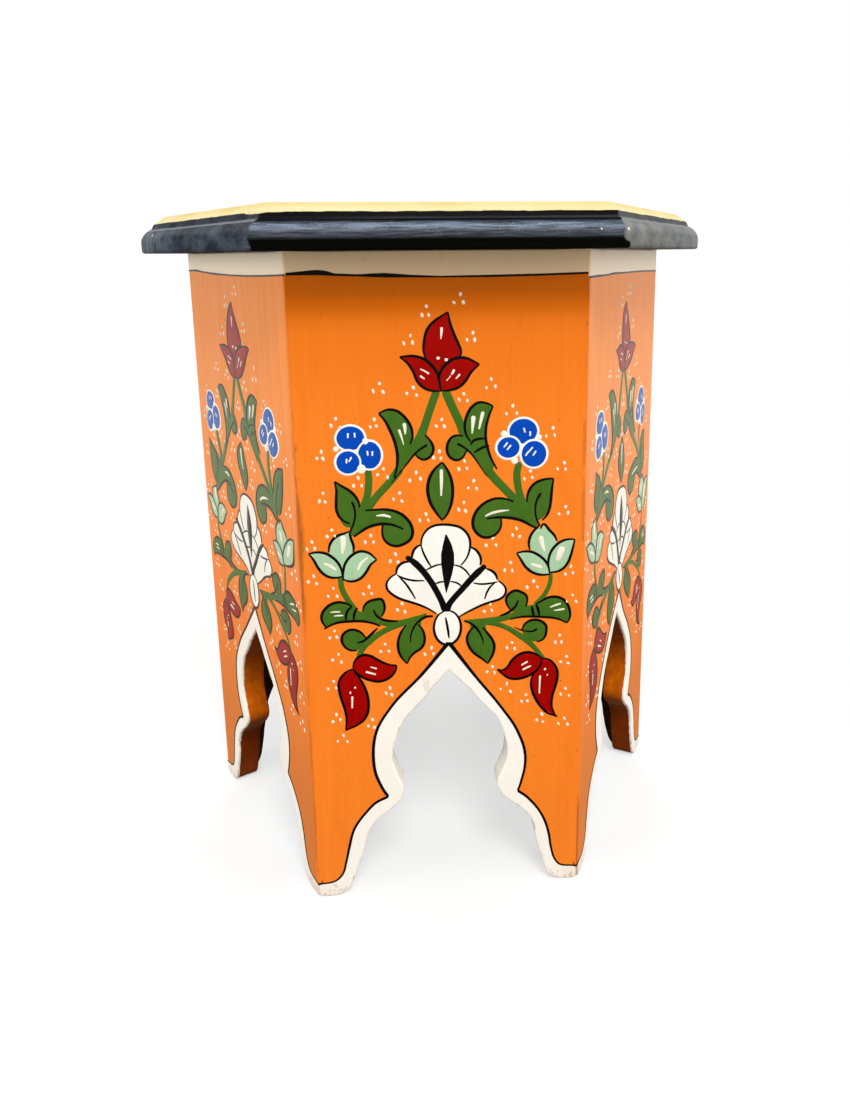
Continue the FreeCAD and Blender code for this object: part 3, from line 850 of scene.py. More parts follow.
lower_vines = [
    stem([(-64, 229), (-63.2, 221), (-60.5, 214.5), (-56, 206)], (3.2, 3.4, 3.6, 4.5)),
    stem([(66.8, 226), (66.4, 219), (63.4, 212), (57, 204)], (2.4, 2.8, 3, 4)),
    fill("green", [(-74, 195.5), (-76.4, 200.5), (-76.2, 205), (-73.5, 209), (-68.5, 212),
                   (-62, 211.6), (-57.5, 209.5), (-54, 206.5), (-46, 203.5), (-39.5, 197)],
         [(-74, 195.5), (-71, 197.5), (-66, 199), (-58, 199.4), (-50, 198.8), (-45, 197.3),
          (-39.5, 197)]),
    pool("green", [(-51.5, 203), (-50.6, 208.5), (-47.6, 211.8), (-43.5, 213), (-39.3, 212.8),
                   (-37.8, 209.5), (-37.9, 205.5), (-39.8, 201), (-43, 199.5), (-48, 200)]),
    stem([(-45, 199), (-37, 197), (-28, 196.8), (-19, 199), (-11.5, 202)], (3, 4, 3.8, 3.4, 1.2)),
    stem([(-24, 196.7), (-33, 194.2), (-41, 190.3), (-47, 186), (-52, 181), (-55, 174)],
         (3, 3.6, 3.6, 4, 4, 3)),
    line([(-57.5, 209.3), (-61, 211.3), (-65.5, 212.4), (-70, 211.4), (-74, 208.5), (-76.4, 204.5),
          (-76.4, 200.5), (-73.6, 195.6)], 1.4),
    line([(-75.3, 195), (-71, 197.5), (-66, 199), (-60, 199.3), (-54, 199.3), (-49, 198.5),
          (-45, 197.3), (-40.7, 195.2)]),
    line([(-57.5, 209.3), (-60, 207), (-61.4, 204), (-61.7, 199.8)]),
    line([(-54.3, 208.3), (-56.2, 205), (-57, 200)]),
    line([(-51, 205.2), (-50.3, 208.8), (-47.5, 211.8), (-43.5, 213), (-39.2, 213), (-37.7, 209.5),
          (-37.8, 205.5), (-39.7, 201.5)]),
    line([(-44.5, 206.5), (-43, 202.8), (-40, 200), (-36, 198.6), (-29.5, 198)]),
    fleck([(-71, 206), (-68, 206.1), (-64.8, 206)], (0.5, 1.1, 0.6)),
    fleck([(-69, 203.4), (-66, 203.6), (-63, 203.4)], (0.5, 1.1, 0.5)),
    fill("green", [(-25.5, 197), (-27.2, 191), (-29.5, 186), (-30, 180), (-28.5, 174.5),
                   (-24.6, 169)],
         [(-14.5, 199.5), (-15, 193), (-13.2, 186.5), (-14, 180.5), (-19.5, 176.2), (-24.6, 169)]),
    line([(-24.5, 195), (-27.6, 190.8), (-29.6, 185.5), (-30, 180), (-28.8, 175), (-24.7, 168.8)],
         1.3),
    line([(-17, 195.3), (-14.4, 191.5), (-13.2, 186.5), (-13.6, 182), (-15.8, 178.6),
          (-19.8, 176.1), (-22.5, 173.2), (-24.6, 168.8)], 1.3),
    stroke("black", [(-7.5, 200.2), (-12, 200), (-15.7, 197.9), (-18.7, 195), (-20.9, 191),
                     (-22, 186.5), (-22, 183)], (1.2, 1.7, 1.6, 1.3, 1.2, 1.0, 0.6)),
    fill("green", [(77.5, 191.3), (79.5, 196), (79.2, 200.5), (77, 205), (72, 209), (66, 209.3),
                   (58, 205.5), (50, 204), (41, 199), (33, 196)],
         [(77.5, 191.3), (73.5, 193.7), (68, 195.4), (60, 196.3), (52, 196.9), (45, 196.4),
          (33, 196)]),
    pool("green", [(52, 202), (52, 207.5), (51.4, 211), (48.5, 213.5), (44.5, 214.7), (40.6, 213),
                   (38.7, 209.5), (39.3, 205.5), (42, 201), (47, 199.5)]),
    stem([(11.5, 196.2), (19, 195.3), (28, 195.4), (37, 196.6), (46, 199)], (1, 3.6, 4.2, 3.8, 4)),
    stem([(24, 194.5), (33.5, 192.5), (41, 188.8), (47.5, 184), (54, 178.5), (59, 172.5),
          (63, 167)], (3, 3.2, 3.2, 3.6, 3.6, 3, 2.6)),
    line([(57.5, 205), (61.3, 207.2), (65.5, 209.2), (70, 209.5), (74.5, 207.8), (77.8, 204),
          (79.4, 199.5), (79.5, 195), (77.6, 191.2)], 1.4),
    line([(77.4, 191.4), (73.5, 193.7), (68.5, 195.3), (62.5, 196.1), (56, 196.8), (50, 197),
          (45, 196.5), (41, 195.7)], 1.3),
    line([(57.5, 205), (58.8, 202), (59.8, 197.3)], 1.5),
    line([(54.8, 204), (55.5, 200.5), (56.3, 197)], 1.5),
    line([(51, 203.7), (52, 207.5), (51.5, 211), (48.5, 213.5), (44.5, 214.9), (40.5, 213),
          (38.5, 209.5), (39.2, 205.5), (41.3, 202.3)]),
    line([(46.3, 208.5), (45, 205), (42.3, 202), (38.5, 199.6), (34.3, 198.2)]),
    fleck([(66.5, 202.5), (70, 203.8), (73.6, 204.8)], (0.6, 1.3, 0.9)),
    fleck([(69, 200.2), (72.5, 200.6), (76, 201)], (0.4, 1.2, 1.0)),
    fill("green", [(15, 195.5), (15.5, 189), (13.7, 184), (15, 178.5), (19.5, 172.5), (26.8, 166)],
         [(26, 195), (26, 189), (29.7, 182.5), (30.9, 177.5), (29.7, 172), (26.8, 166)]),
    line([(18.3, 192), (15.2, 188.7), (13.6, 184), (14.8, 178.5), (18, 173.7), (22.5, 170),
          (26.8, 166)], 1.4),
    line([(23.7, 191.2), (26.6, 187), (29.7, 182.3), (31, 177.8), (30.3, 173.3), (26.8, 166)], 1.4),
    stroke("black", [(11.7, 196), (15.2, 194.6), (18.6, 192), (21.4, 188), (23.3, 183.5),
                     (24, 179.5)], (0.8, 1.3, 1.7, 1.3, 1.1, 0.5)),
    pool("green", [(57.5, 179.6), (61, 180.2), (63.2, 182.5), (64.1, 186), (63.9, 190),
                   (61.4, 192.9), (57.5, 194.3), (53.5, 193.8), (50, 191), (49, 186), (52, 181)]),
    line([(48.7, 187.8), (50, 191.3), (53.5, 194), (57.5, 194.5), (61.5, 193), (64, 190.5),
          (64.3, 186), (63.3, 182.2), (61, 180), (58, 179.5)], 1.4),
    stroke("black", [(58.6, 188.3), (55.5, 186.8), (51.5, 187), (48, 188), (43.8, 190.2)],
           (1.8, 1.2, 1.0, 0.9, 0.4)),
]
left_curl = [
    pool("green", [(-55.5, 179.8), (-60, 180.2), (-63.2, 182.9), (-64.6, 186.5), (-63.8, 190.5),
                   (-61.1, 192.9), (-57.5, 193.5), (-54, 192.3), (-50, 188), (-51, 183)]),
    line([(-55.5, 179.6), (-60, 180), (-63.3, 182.8), (-64.8, 186.5), (-64, 190.5), (-61.2, 193),
          (-57.5, 193.7), (-54, 192.5), (-49.7, 187.8)], 1.4),
    line([(-55.5, 184.8), (-52.5, 185.2), (-49.3, 187.3), (-46, 190.5), (-42.4, 194)]),
]

# The tulip at the head of each board and the two pairs of peppers beside the arch: red, edged in
# black, with cream lights.
tulip = [
    fill("red", [(-1.5, 351), (-6, 359), (-9.9, 362), (-10.2, 368.5), (-8.3, 377), (-4.5, 382.8),
                 (4.5, 388.7)],
         [(-1.5, 351), (3, 359), (10.9, 361.4), (12.2, 365.5), (9.6, 372.5), (6.3, 380),
          (4.5, 388.7)], ground_rise),
    line([(-9, 362), (-10, 366.5), (-9.4, 373), (-7.7, 378.8), (-4.5, 382.8), (0, 386),
          (4.5, 388.9)]),
    line([(11.3, 362), (12, 365.7), (10.4, 370.3), (8, 375.8), (6, 381.5), (4.5, 388.9)]),
    fill("red", [(0, 342.7), (-0.7, 347), (-2, 352.5), (-5, 357.5), (-10, 361.8), (-16, 363.6),
                 (-24, 363.3)],
         [(0, 342.7), (-5, 342.8), (-10, 344.6), (-14, 348.7), (-16.3, 354.5), (-19.5, 359.5),
          (-24, 363.3)]),
    line([(-0.2, 342.7), (-1, 348), (-2.4, 353.5), (-5.5, 358), (-10, 361.8), (-16, 363.6),
          (-24, 363.3)], 1.5),
    line([(0, 342.7), (-5, 342.8), (-10, 344.6), (-14, 348.7), (-16.3, 354.5), (-19.5, 359.5),
          (-24, 363.3)]),
    fill("red", [(0, 342.7), (-1.1, 348), (-0.8, 353), (2.5, 358), (8, 361.7), (14, 362),
                 (22.7, 358)],
         [(0, 342.7), (5, 343), (10.5, 344.8), (14.5, 348.5), (17, 352.5), (19.5, 355.3),
          (22.7, 358)]),
    line([(-0.2, 342.7), (-1.1, 348), (-0.8, 353), (2.5, 358), (8, 361.7), (14, 362), (22.7, 358)],
         1.5),
    line([(0, 342.7), (5, 343), (10.5, 344.8), (14.5, 348.5), (17, 352.5), (19.5, 355.3),
          (22.7, 358)]),
    fleck([(0.8, 380.2), (0.6, 377), (0.2, 373.3)], (1.5, 1.3, 0.5)),
    fleck([(-1.6, 363), (-1.6, 361.3)], (1.9, 1.9)),
    fleck([(3.2, 362), (3.1, 360.2)], (2.0, 1.7)),
    fleck([(-12.3, 356), (-9.6, 354.7), (-7, 353)], (0.6, 0.9, 1.1)),
    fleck([(-12.4, 352), (-9.7, 350)], (1.1, 0.8)),
    fleck([(7.9, 355.3), (6.1, 352.2)], (1.5, 1.1)),
    fleck([(5.7, 351.7), (4.4, 350), (3.1, 348.8)], (0.5, 0.4, 0.6)),
    fleck([(11.2, 352.5), (8.6, 349.6)], (1.3, 0.6)),
]
peppers = [
    fill("red", [(-58.8, 167.3), (-57, 173), (-51.5, 176.2), (-44.5, 173.4), (-38, 169.5),
                 (-31.3, 168.1)],
         [(-58.8, 167.3), (-54.5, 162), (-48, 158.8), (-42, 157.8), (-35.5, 160), (-31.3, 168.1)]),
    line([(-58.6, 167.6), (-57.5, 172), (-55, 175), (-51.5, 176.3), (-47.5, 175.4), (-43.5, 172.8),
          (-39, 170), (-35, 168.5), (-31.2, 168.1)], 1.4),
    line([(-58.6, 167), (-56, 164), (-52.5, 160.8), (-48, 158.7), (-43, 157.6), (-38.5, 158.4),
          (-34.5, 161), (-32, 164.5), (-31.2, 168.1)], 1.4),
    fill("red", [(-59, 166.5), (-66, 162.5), (-68, 155), (-66.5, 146), (-64.5, 137.5),
                 (-64.8, 124.7)],
         [(-59, 166.5), (-54.5, 160.5), (-51.2, 151.5), (-49.9, 142), (-53, 131.5),
          (-64.8, 124.7)]),
    line([(-58.6, 167.2), (-63, 165.2), (-66.5, 161.5), (-68, 157), (-67.7, 152), (-66.5, 146),
          (-64.8, 139.5), (-64, 133), (-64.8, 124.4)], 1.4),
    line([(-58.6, 167), (-57, 164), (-54.5, 160), (-52, 154.5), (-50.3, 148.5), (-49.8, 142),
          (-50.6, 136), (-53, 131.5), (-57, 128.3), (-65, 124.7)], 1.4),
    fleck([(-47.7, 168), (-43.7, 166.4)], (0.5, 1.2)),
    fleck([(-50.8, 164.8), (-47.5, 163.6), (-44.4, 162.6)], (1.5, 1.1, 1.1)),
    fleck([(-57.8, 154.8), (-57.8, 153.6)], (1.2, 1.2)),
    fleck([(-60.8, 151.7), (-61.1, 150)], (1.1, 0.8)),
    fleck([(-59.8, 148.3), (-60, 144), (-60.2, 140)], (1.5, 0.9, 1.0)),
    fill("red", [(33, 161.3), (38.5, 161.7), (43, 168.5), (50, 172.3), (57, 171), (62, 167.6)],
         [(33, 161.3), (38.5, 156.2), (45.5, 154.2), (53, 156), (59.5, 160.5), (62, 167.6)]),
    line([(32.8, 161.7), (36, 160.8), (39.5, 163), (42, 167), (45.5, 170.3), (50, 172.3),
          (54, 172.3), (58.5, 170.3), (62.3, 167.6)], 1.4),
    line([(32.8, 161.5), (36.5, 158), (40.5, 155), (45.5, 154.2), (50.5, 155), (55, 157),
          (59, 160.2), (61, 164), (61.5, 167.8)], 1.4),
    fill("red", [(62, 168), (69, 164.2), (72, 155.5), (70.2, 146), (68.5, 137), (71.7, 126)],
         [(62, 168), (58, 160.5), (54.8, 153), (56, 144), (61.5, 133.3), (71.7, 126)]),
    line([(62, 167.8), (66, 166.8), (69.5, 163.5), (71.7, 159), (72, 154), (70.8, 148), (69, 142),
          (68.3, 136.5), (69, 130.5), (71.7, 125.5)], 1.4),
    line([(56.5, 158), (54.8, 152.5), (55.3, 146), (57.5, 140), (61, 134), (65.5, 129),
          (72.3, 125.8)], 1.4),
    fleck([(52.5, 166), (48.3, 163.6)], (1.2, 0.9)),
    fleck([(54.6, 162.9), (52, 161.8), (49, 160.3)], (0.9, 1.2, 0.8)),
    fleck([(63.8, 160.7), (63.8, 159.3)], (1.5, 1.3)),
    fleck([(65.6, 156.5), (65, 155.2)], (0.8, 0.5)),
    fleck([(60.6, 155.8), (60.4, 149), (60.2, 143)], (1.3, 0.9, 0.8)),
]


def oval(across, up, count, lean=0):
    """Points round an oval, from its half width and half height, leaning by a share of its
    height."""
    turn = 2 * math.pi * np.arange(count) / count
    return np.stack([across * np.cos(turn) + lean * up * np.sin(turn), up * np.sin(turn)], axis=1)


# The berries: three blue rounds in a white edge at the end of a short stem on each side, with white
# lights and white beads where the rounds meet.
round_step = 0.06           # millimetres by which each round lies over the one before
bead_rise = 0.31
berries = []
for rounds, beads, lights in (
        (((-54.4, 315.6, 8.5, 7.5), (-43.5, 305.0, 7.1, 8.6), (-56.4, 301.0, 7.2, 7.2)),
         ((-45.7, 313.6, 2.0), (-63.2, 309.2, 1.7), (-48.6, 296.7, 2.8)),
         ((-55.8, 317.2, -0.1), (-51.8, 317.4, 0.1), (-44.6, 306.2, 0.1), (-41.8, 306, -0.1),
          (-57.2, 301.8, -0.1), (-55, 302.8, -0.6))),
        (((49, 317, 8.8, 7.9), (40, 307.2, 7.2, 6.8), (55.6, 302.8, 7.9, 8.4)),
         ((37.3, 315.6, 2.0), (58.8, 313, 1.7), (43.8, 299, 2.2)),
         ((49.7, 317.6, 0.3), (53.2, 315.4, 0.0), (38.3, 308.9, -0.8), (40.3, 307.2, -0.9),
          (53.6, 305.6, -0.9), (55.9, 303.2, -0.7), (51.4, 303.2, -0.8)))):
    for order, (x, z, across, up) in enumerate(rounds):
        for colour, edge, step in (("white", 1.2, 0), ("blue", 0, 0.7)):
            berries.append(pool(colour, oval(across + edge, up + edge, 10) + (x, z),
                                ground_rise + round_step * (order + step)))
    for x, z, size in beads:
        berries.append(pool("white", oval(size, size * 1.1, 10) + (x, z), bead_rise))
    for x, z, slope in lights:
        berries.append(stroke("white", [(x - slope * 1.4, z + 1.5), (x + slope * 1.4, z - 1.5)],
                              (1.1, 0.8), bead_rise))

# The side flowers: pale green tulips edged in black, with a cream light on each petal.
wash_rise = 0.125           # millimetres
side_flowers = [
    fill("mint", [(-62.3, 232), (-69.5, 241), (-69.8, 249), (-65, 254.8), (-57.5, 257.6)],
         [(-62.3, 232), (-56.5, 240), (-55.3, 247), (-56, 252.5), (-57.5, 257.6)], ground_rise),
    line([(-70.3, 245), (-69.5, 249.5), (-67, 253.5), (-63.5, 255.8), (-60, 256.8), (-57.3, 258)]),
    line([(-57.3, 257.4), (-56.5, 253), (-55.2, 249), (-55.3, 244.5)]),
    fill("mint", [(-62.4, 228.8), (-63, 233.5), (-66, 239.5), (-71, 244), (-76.5, 245.2),
                  (-82.2, 244.7)],
         [(-62.4, 228.8), (-68, 228.6), (-73.5, 230.9), (-77, 235.3), (-79.3, 240),
          (-82.2, 244.7)]),
    line([(-62.5, 228.5), (-63.3, 234.5), (-65.4, 238.7), (-68.5, 242), (-72, 244.3),
          (-76.5, 245.3), (-82.3, 244.7)], 1.4),
    line([(-62.5, 229.2), (-66, 228.5), (-70, 228.9), (-73.7, 231), (-77, 235.2), (-79.5, 240.5),
          (-82.3, 244.7)], 1.4),
    fill("mint", [(-62.3, 227.3), (-61.3, 236), (-57.5, 241.6), (-51, 244.9), (-46, 243.5),
                  (-41.6, 239.2)],
         [(-62.3, 227.3), (-57, 225.7), (-51.5, 227.6), (-47.3, 232.3), (-44.5, 236.8),
          (-41.6, 239.2)]),
    line([(-62.3, 226.5), (-62, 232), (-60.8, 237), (-58.2, 240.9), (-54.5, 243.8), (-50.3, 244.9),
          (-46.5, 243.8), (-41.4, 239.1)], 1.4),
    line([(-62.3, 227.3), (-59.5, 226), (-55.5, 225.8), (-51.5, 227.5), (-48, 231.5), (-45, 236.3),
          (-41.4, 239.1)], 1.4),
    fleck([(-61.3, 255.5), (-61.2, 249.5), (-62.2, 243.7)], (3.5, 3.1, 1.1), wash_rise),
    fleck([(-73.6, 238.2), (-69.8, 236.2), (-66, 233.4)], (2.2, 3.7, 2.6), wash_rise),
    fleck([(-46.6, 241), (-50.7, 237.5), (-53.2, 232.8)], (2.4, 4.0, 3.0), wash_rise),
    fill("mint", [(66, 231), (56, 238), (53, 245), (54.5, 251.5), (61.8, 257.3)],
         [(66, 231), (69.5, 239), (70.4, 246.3), (67.5, 251.7), (61.8, 257.3)], ground_rise),
    line([(53.3, 241.5), (52.8, 246.5), (54.3, 251.5), (57.2, 255.2), (59.2, 257)]),
    line([(60, 254.8), (61.8, 258.1), (65.5, 254), (69, 250), (70.5, 246.5)]),
    fill("mint", [(66.1, 225.2), (64.6, 231.5), (60.5, 236.7), (54.5, 240.2), (50, 240.4),
                  (45.4, 239.7)],
         [(66.1, 225.2), (60, 224.8), (54.5, 227), (50.3, 231), (47.7, 235.5), (45.4, 239.7)]),
    line([(66.2, 225), (65, 230.7), (62.7, 234.4), (59, 237.7), (54.5, 240.1), (50, 240.5),
          (45.2, 239.7)], 1.4),
    line([(66.3, 225), (63, 224.5), (59, 225), (54.5, 227), (50.5, 230.8), (47.7, 235.5),
          (45.2, 239.7)], 1.4),
    fill("mint", [(66.2, 226.3), (65.3, 234), (67.3, 240.5), (71.5, 245.2), (76.5, 247.1),
                  (81.7, 247)],
         [(66.2, 226.3), (72.5, 226.9), (77, 231.3), (79.3, 236.7), (80.6, 242), (81.7, 247)]),
    line([(66.2, 226.5), (65.2, 230.5), (65.4, 235.3), (66.8, 239.6), (69.4, 243.3), (73, 246),
          (77, 247.3), (81.8, 247.2)], 1.4),
    line([(66.4, 226.1), (70.5, 226.3), (74.3, 228), (77.3, 231.5), (79.3, 236.5), (80.7, 242),
          (81.8, 247.2)], 1.4),
    fleck([(60.2, 250.3), (61.2, 245), (62.8, 240)], (3.0, 2.6, 1.0), wash_rise),
    fleck([(54.3, 232.1), (57.5, 231), (61.6, 229.6)], (2.6, 3.5, 2.6), wash_rise),
    fleck([(74.3, 242.8), (72.7, 238.5), (70.9, 233.6)], (3.9, 4.2, 3.0), wash_rise),
]

# The shell in the middle of each board: a white palmette of seven lobes over an oval bud, ruled
# with black bands and fine arcs.
bud = oval(8.5, 11.6, 14) + (1.3, 192)
shell = [
    pool("white", [(0, 259.8), (5.5, 259.3), (10.5, 257.7), (14.3, 253.5), (16, 248), (16.5, 245),
                   (20, 242.7), (22.3, 238), (22.5, 233.5), (26, 230), (30, 228.3), (32.7, 224.5),
                   (33.4, 222), (37, 218.8), (38, 214.5), (35.5, 210.2), (28, 207.8), (19, 204.5),
                   (9, 199.3), (0, 200), (-6, 202.2), (-13, 206.8), (-21, 210.3), (-28, 213),
                   (-33.5, 217), (-35.7, 222), (-33.8, 226.8), (-30, 229.3), (-29.4, 232.5),
                   (-26.5, 235.7), (-22, 236.6), (-20, 239), (-18.5, 243.8), (-15, 247),
                   (-13.9, 248), (-13, 253), (-9.5, 257.7), (-5, 259.5)]),
    line([(-14, 246.5), (-13.8, 250.5), (-12.2, 254.5), (-9.3, 257.8), (-5, 259.7), (0, 260),
          (5, 259.4), (9.7, 258), (13.3, 255), (15.6, 251), (16.2, 246.5), (15.4, 241.5),
          (13.3, 236.8), (10.3, 233.2)], 1.3),
    line([(-14.2, 247.3), (-12.8, 242.5), (-10.6, 237.5), (-8, 232.7)], 1.1),
    line([(-14.3, 247.5), (-17.2, 246), (-19.2, 242.8), (-20, 238.5)]),
    line([(16, 245), (19.2, 243.2), (21.7, 240), (22.8, 236), (22.3, 232.5)]),
    line([(-21, 236.9), (-24.5, 236.7), (-27.7, 234.9), (-29.4, 232), (-29.8, 228.9)]),
    line([(-29.5, 228.7), (-25, 226.2), (-19, 224.5), (-12.5, 224.1)], 1.1),
    line([(-30, 229.3), (-33.5, 227), (-35.9, 223.3), (-35.5, 219.5), (-32.5, 216), (-28, 213),
          (-22, 210.6), (-16, 208.2), (-10, 205.1), (-5.5, 201.8)], 1.3),
    line([(-28.3, 227.7), (-24, 222.5), (-21, 217.5), (-18.3, 212.3)], 1.1),
    line([(26, 230.3), (29.6, 228.6), (32, 226), (33, 222.5)]),
    line([(33.3, 221.3), (28, 220.4), (22, 220.3), (17.8, 221.2)], 1.1),
    line([(33.5, 222), (36.6, 219.4), (38.4, 216), (37.8, 212.5), (35, 209.9), (30, 208.3),
          (24, 206.5), (17, 203.4), (12, 200.9), (8.3, 198.7)], 1.3),
    line([(31.8, 221), (28.5, 218), (26.2, 214), (25, 210)], 1.1),
    line([(-12, 230.7), (-8, 232.7), (-4.5, 234), (-1, 234.4)], 1.0),
    line([(-6, 221.7), (-3, 222.7), (0, 222.9)], 1.0),
    line([(5.5, 233.8), (10, 232.3), (13.3, 229.5), (16.2, 225.2)], 1.0),
    line([(3.5, 222.9), (7.5, 221.8), (11, 219)], 1.0),
    stroke("black", [(-23.5, 240.3), (-18, 235.8), (-13, 230), (-9, 224), (-5, 216.5),
                     (-2.3, 210.5), (0.3, 203)], (2.6, 4.2, 4.0, 3.9, 3.8, 3.9, 4.4)),
    stroke("black", [(25.8, 232.5), (20.5, 227.8), (16, 223.2), (10.5, 217), (5.5, 211.5),
                     (2.5, 207.5), (0.9, 203)], (2.8, 4.4, 4.1, 3.9, 3.8, 3.8, 4.4)),
    stroke("black", [(1.3, 253.6), (1.8, 249), (2.1, 243), (2.1, 236), (1.9, 230), (1.4, 223),
                     (0.9, 215.4)], (0.8, 5.2, 8.0, 8.0, 6.0, 3.4, 0.4)),
    pool("white", bud),
    line(np.roll(bud, -4, axis=0)[[*range(14), 0]], 1.4),
    line([(0.2, 199), (1, 194.5), (1.8, 189), (2.2, 184.8)], 1.3),
]

# The cream dots: set in threes all over the orange between the motifs, each one a single touch of
# a pointed brush. A list gives the top dot of each three.
dot_tops = [
    (-7.8, 392.3), (12, 399), (-17.5, 375.5), (19.1, 376.5), (-36.2, 347.8), (-16.5, 345),
    (29.7, 349), (13.3, 340.5), (42.6, 332.6), (-62.5, 327.5), (-40, 326.5), (0, 325.4),
    (67.2, 318.5), (-71.8, 307.8), (-35.5, 296.2), (-1.8, 306), (13.3, 299.5), (74.4, 296.5),
    (-50.7, 291.2), (-16, 293.3), (18.8, 287), (-71.9, 282.3), (-26.3, 280.8), (53.6, 292),
    (12.6, 273.5), (75.7, 268.5), (-10.6, 267), (-67.8, 259), (45, 255.7), (-84.6, 252),
    (-44.5, 254.6), (30.3, 249.8), (-29.8, 242), (-80.2, 230), (79.6, 229.3), (41.4, 233.5),
    (-46.7, 221.5), (-68.5, 221.5), (56, 220.5), (-26.7, 209.5), (83.3, 210), (28.5, 206.3),
    (-69, 193.3), (-38, 182.7), (-67.2, 177.5), (-9, 178.7), (42.3, 179.5), (73.1, 183),
    (77.8, 168), (29.8, 163.5), (-71, 159.2), (-35.8, 152.5), (39, 151), (-70.3, 136), (-47.6, 131),
    (51.5, 142.5), (77.4, 145.5), (62, 128), (-66.4, 121), (77, 124),
]


def dab(middle, across, up, lean):
    """A touch of cream from the brush's point: an oval whose rings shrink and rise."""
    shares = np.array([1, 0.85, 0.1])[:, None, None]
    return "cream", raised(middle + oval(across, up, 8, lean) * shares,
                           np.array([[0], [0.8], [1]]), line_rise)


dots = []
chance = np.random.default_rng(7)
for x, z in dot_tops:
    for across, up in ((0, 0), (-3.3, -4.2), (1.6, -4.7)):
        shift = chance.uniform(-0.9, 0.9, 2) * (across != 0)
        wide, tall, lean = chance.uniform((0.75, 1.05, -0.3), (1.1, 1.6, 0.1))
        middle = (np.clip(x, -80, 81) + across + shift[0], z + up + shift[1])
        dots.append(dab(middle, wide, tall, lean))

lay("vines", upper_vines + middle_leaf + lower_vines, body_places)
lay("left_curls", left_curl, body_places[:-1])      # the front left board was left without it
lay("tulips_and_peppers", tulip + peppers, body_places)
lay("berries", berries, body_places)
lay("side_flowers", side_flowers, body_places)
lay("shells", shell, body_places)
lay("dots", dots, body_places)

# The glue blocks in the corners, the cleats along the boards and the dowels between the boards of
# the top: softwood off the saw, neither sanded nor painted, and browned. The nails are black iron.
def bare_wood():
    """Pale softwood with its grain across the stool, darker where glue and dust have settled."""
    s = material("bare_wood")
    grain = s.noise((14, 260, 260), 4, 0.6)
    saw = s.noise((500, 120, 120), 2, shift=5)
    dust = s.noise((30, 30, 30), 4, 0.6, shift=9)
    wood = s.mix(grain, tone(150, 104, 60), tone(118, 76, 40))
    wood = s.mix(dust.ramp(0.5, 1) * 0.6, wood, tone(78, 50, 28))
    return s.finish(wood, 0.72 + grain * 0.12, grain * 0.6 + saw * 0.4, 0.4 * mm)


def nail_iron():
    """Black cut iron with brown rust."""
    s = material("nail_iron")
    rust = s.noise((700, 700, 700), 5, 0.7)
    colour = s.mix(rust.ramp(0.45, 0.75), tone(62, 60, 58), tone(112, 62, 34))
    return s.finish(colour, 0.45 + rust * 0.35, rust, 0.1 * mm, Metallic=0.7)


wood_material, iron_material = bare_wood(), nail_iron()
for node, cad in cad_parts.items():
    if not cad.hide_render:
        cad.data.materials.clear()
        cad.data.materials.append(iron_material if "nails" in node else wood_material)

# The top: three softwood boards glued edge to edge, with one moulding worked round the hexagon: a
# square face, a rounded nose, a low step and a slope. The edge is black up to the step, and the
# slope and a margin on top are yellow. On top the middle is orange like the body.
top_low, top_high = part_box("top_board_front")
top_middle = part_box("top_board_middle")
top_apothem = -top_low.y
top_thickness = (top_high.z - top_low.z) / mm
top_steps = 24              # rings' points along each edge of a board
joint_gap = 0.03            # millimetres, as all the moulding's sizes are
joint_ease = 0.3
under_round = 2.0
face_rise = 8.5
nose = ((0.0, face_rise), (2.52, 13.6), (7.0, 17.0))
step_end = (8.5, 20.2)
slope_end = (15.7, 25.6)
slope_ease = (16.4, 25.79)
rim_end = (17.0, top_thickness - coat / mm)
moulding_reach = 40.0       # how far in the rings go on over the flat faces
paint_change = 20.3         # height at which black gives way to yellow
margin = 30.5               # how far the yellow reaches in from the square face
paint_run = 0.1             # metres to the left at which the yellow has run down a little
paint_chips = (((-0.193, -0.0215, 0.434), 0.0016), ((0.0875, -0.179, 0.432), 0.0012),
               ((0.103, -0.1785, 0.432), 0.0014))


def moulding():
    """The moulding as inset from the square face and height over the underside."""
    bulge = under_round * arc_sag
    under = arc((under_round, 0), (bulge, bulge), (0, under_round), 4)
    return np.vstack([[(moulding_reach, 0), (under_round, 0)], under, [(0, face_rise)],
                      arc(*nose, 10), [step_end, slope_end, slope_ease, rim_end,
                                       (moulding_reach, rim_end[1])]])


def cut_board(cuts):
    """One board of the top, as rings along the moulding. The cuts are its edges in order: the
    number of a side of the hexagon, or for a joint the way it faces and how far out it lies. A
    ring's corners are where the lines of neighbouring edges cross, each moved in by the inset or,
    at a joint, by the gap."""
    rings = []
    for inset, height in moulding():
        gap = joint_ease if height >= rim_end[1] else joint_gap
        lines = [(math.sin(cut * sixth), -math.cos(cut * sixth), top_apothem / mm - inset)
                 if isinstance(cut, int) else (0, cut[0], cut[1] - gap)
                 for cut in cuts]
        corners = np.array([np.linalg.solve([one[:2], other[:2]], [one[2], other[2]])
                            for one, other in zip(lines[-1:] + lines[:-1], lines)])
        shares = np.arange(top_steps)[None, :, None] / top_steps
        edge = corners[:, None] + (np.roll(corners, -1, axis=0) - corners)[:, None] * shares
        edge = edge.reshape(-1, 2)
        rings.append(np.column_stack([edge, np.full(len(edge), height + top_low.z / mm)]))
    return np.array(rings) * mm


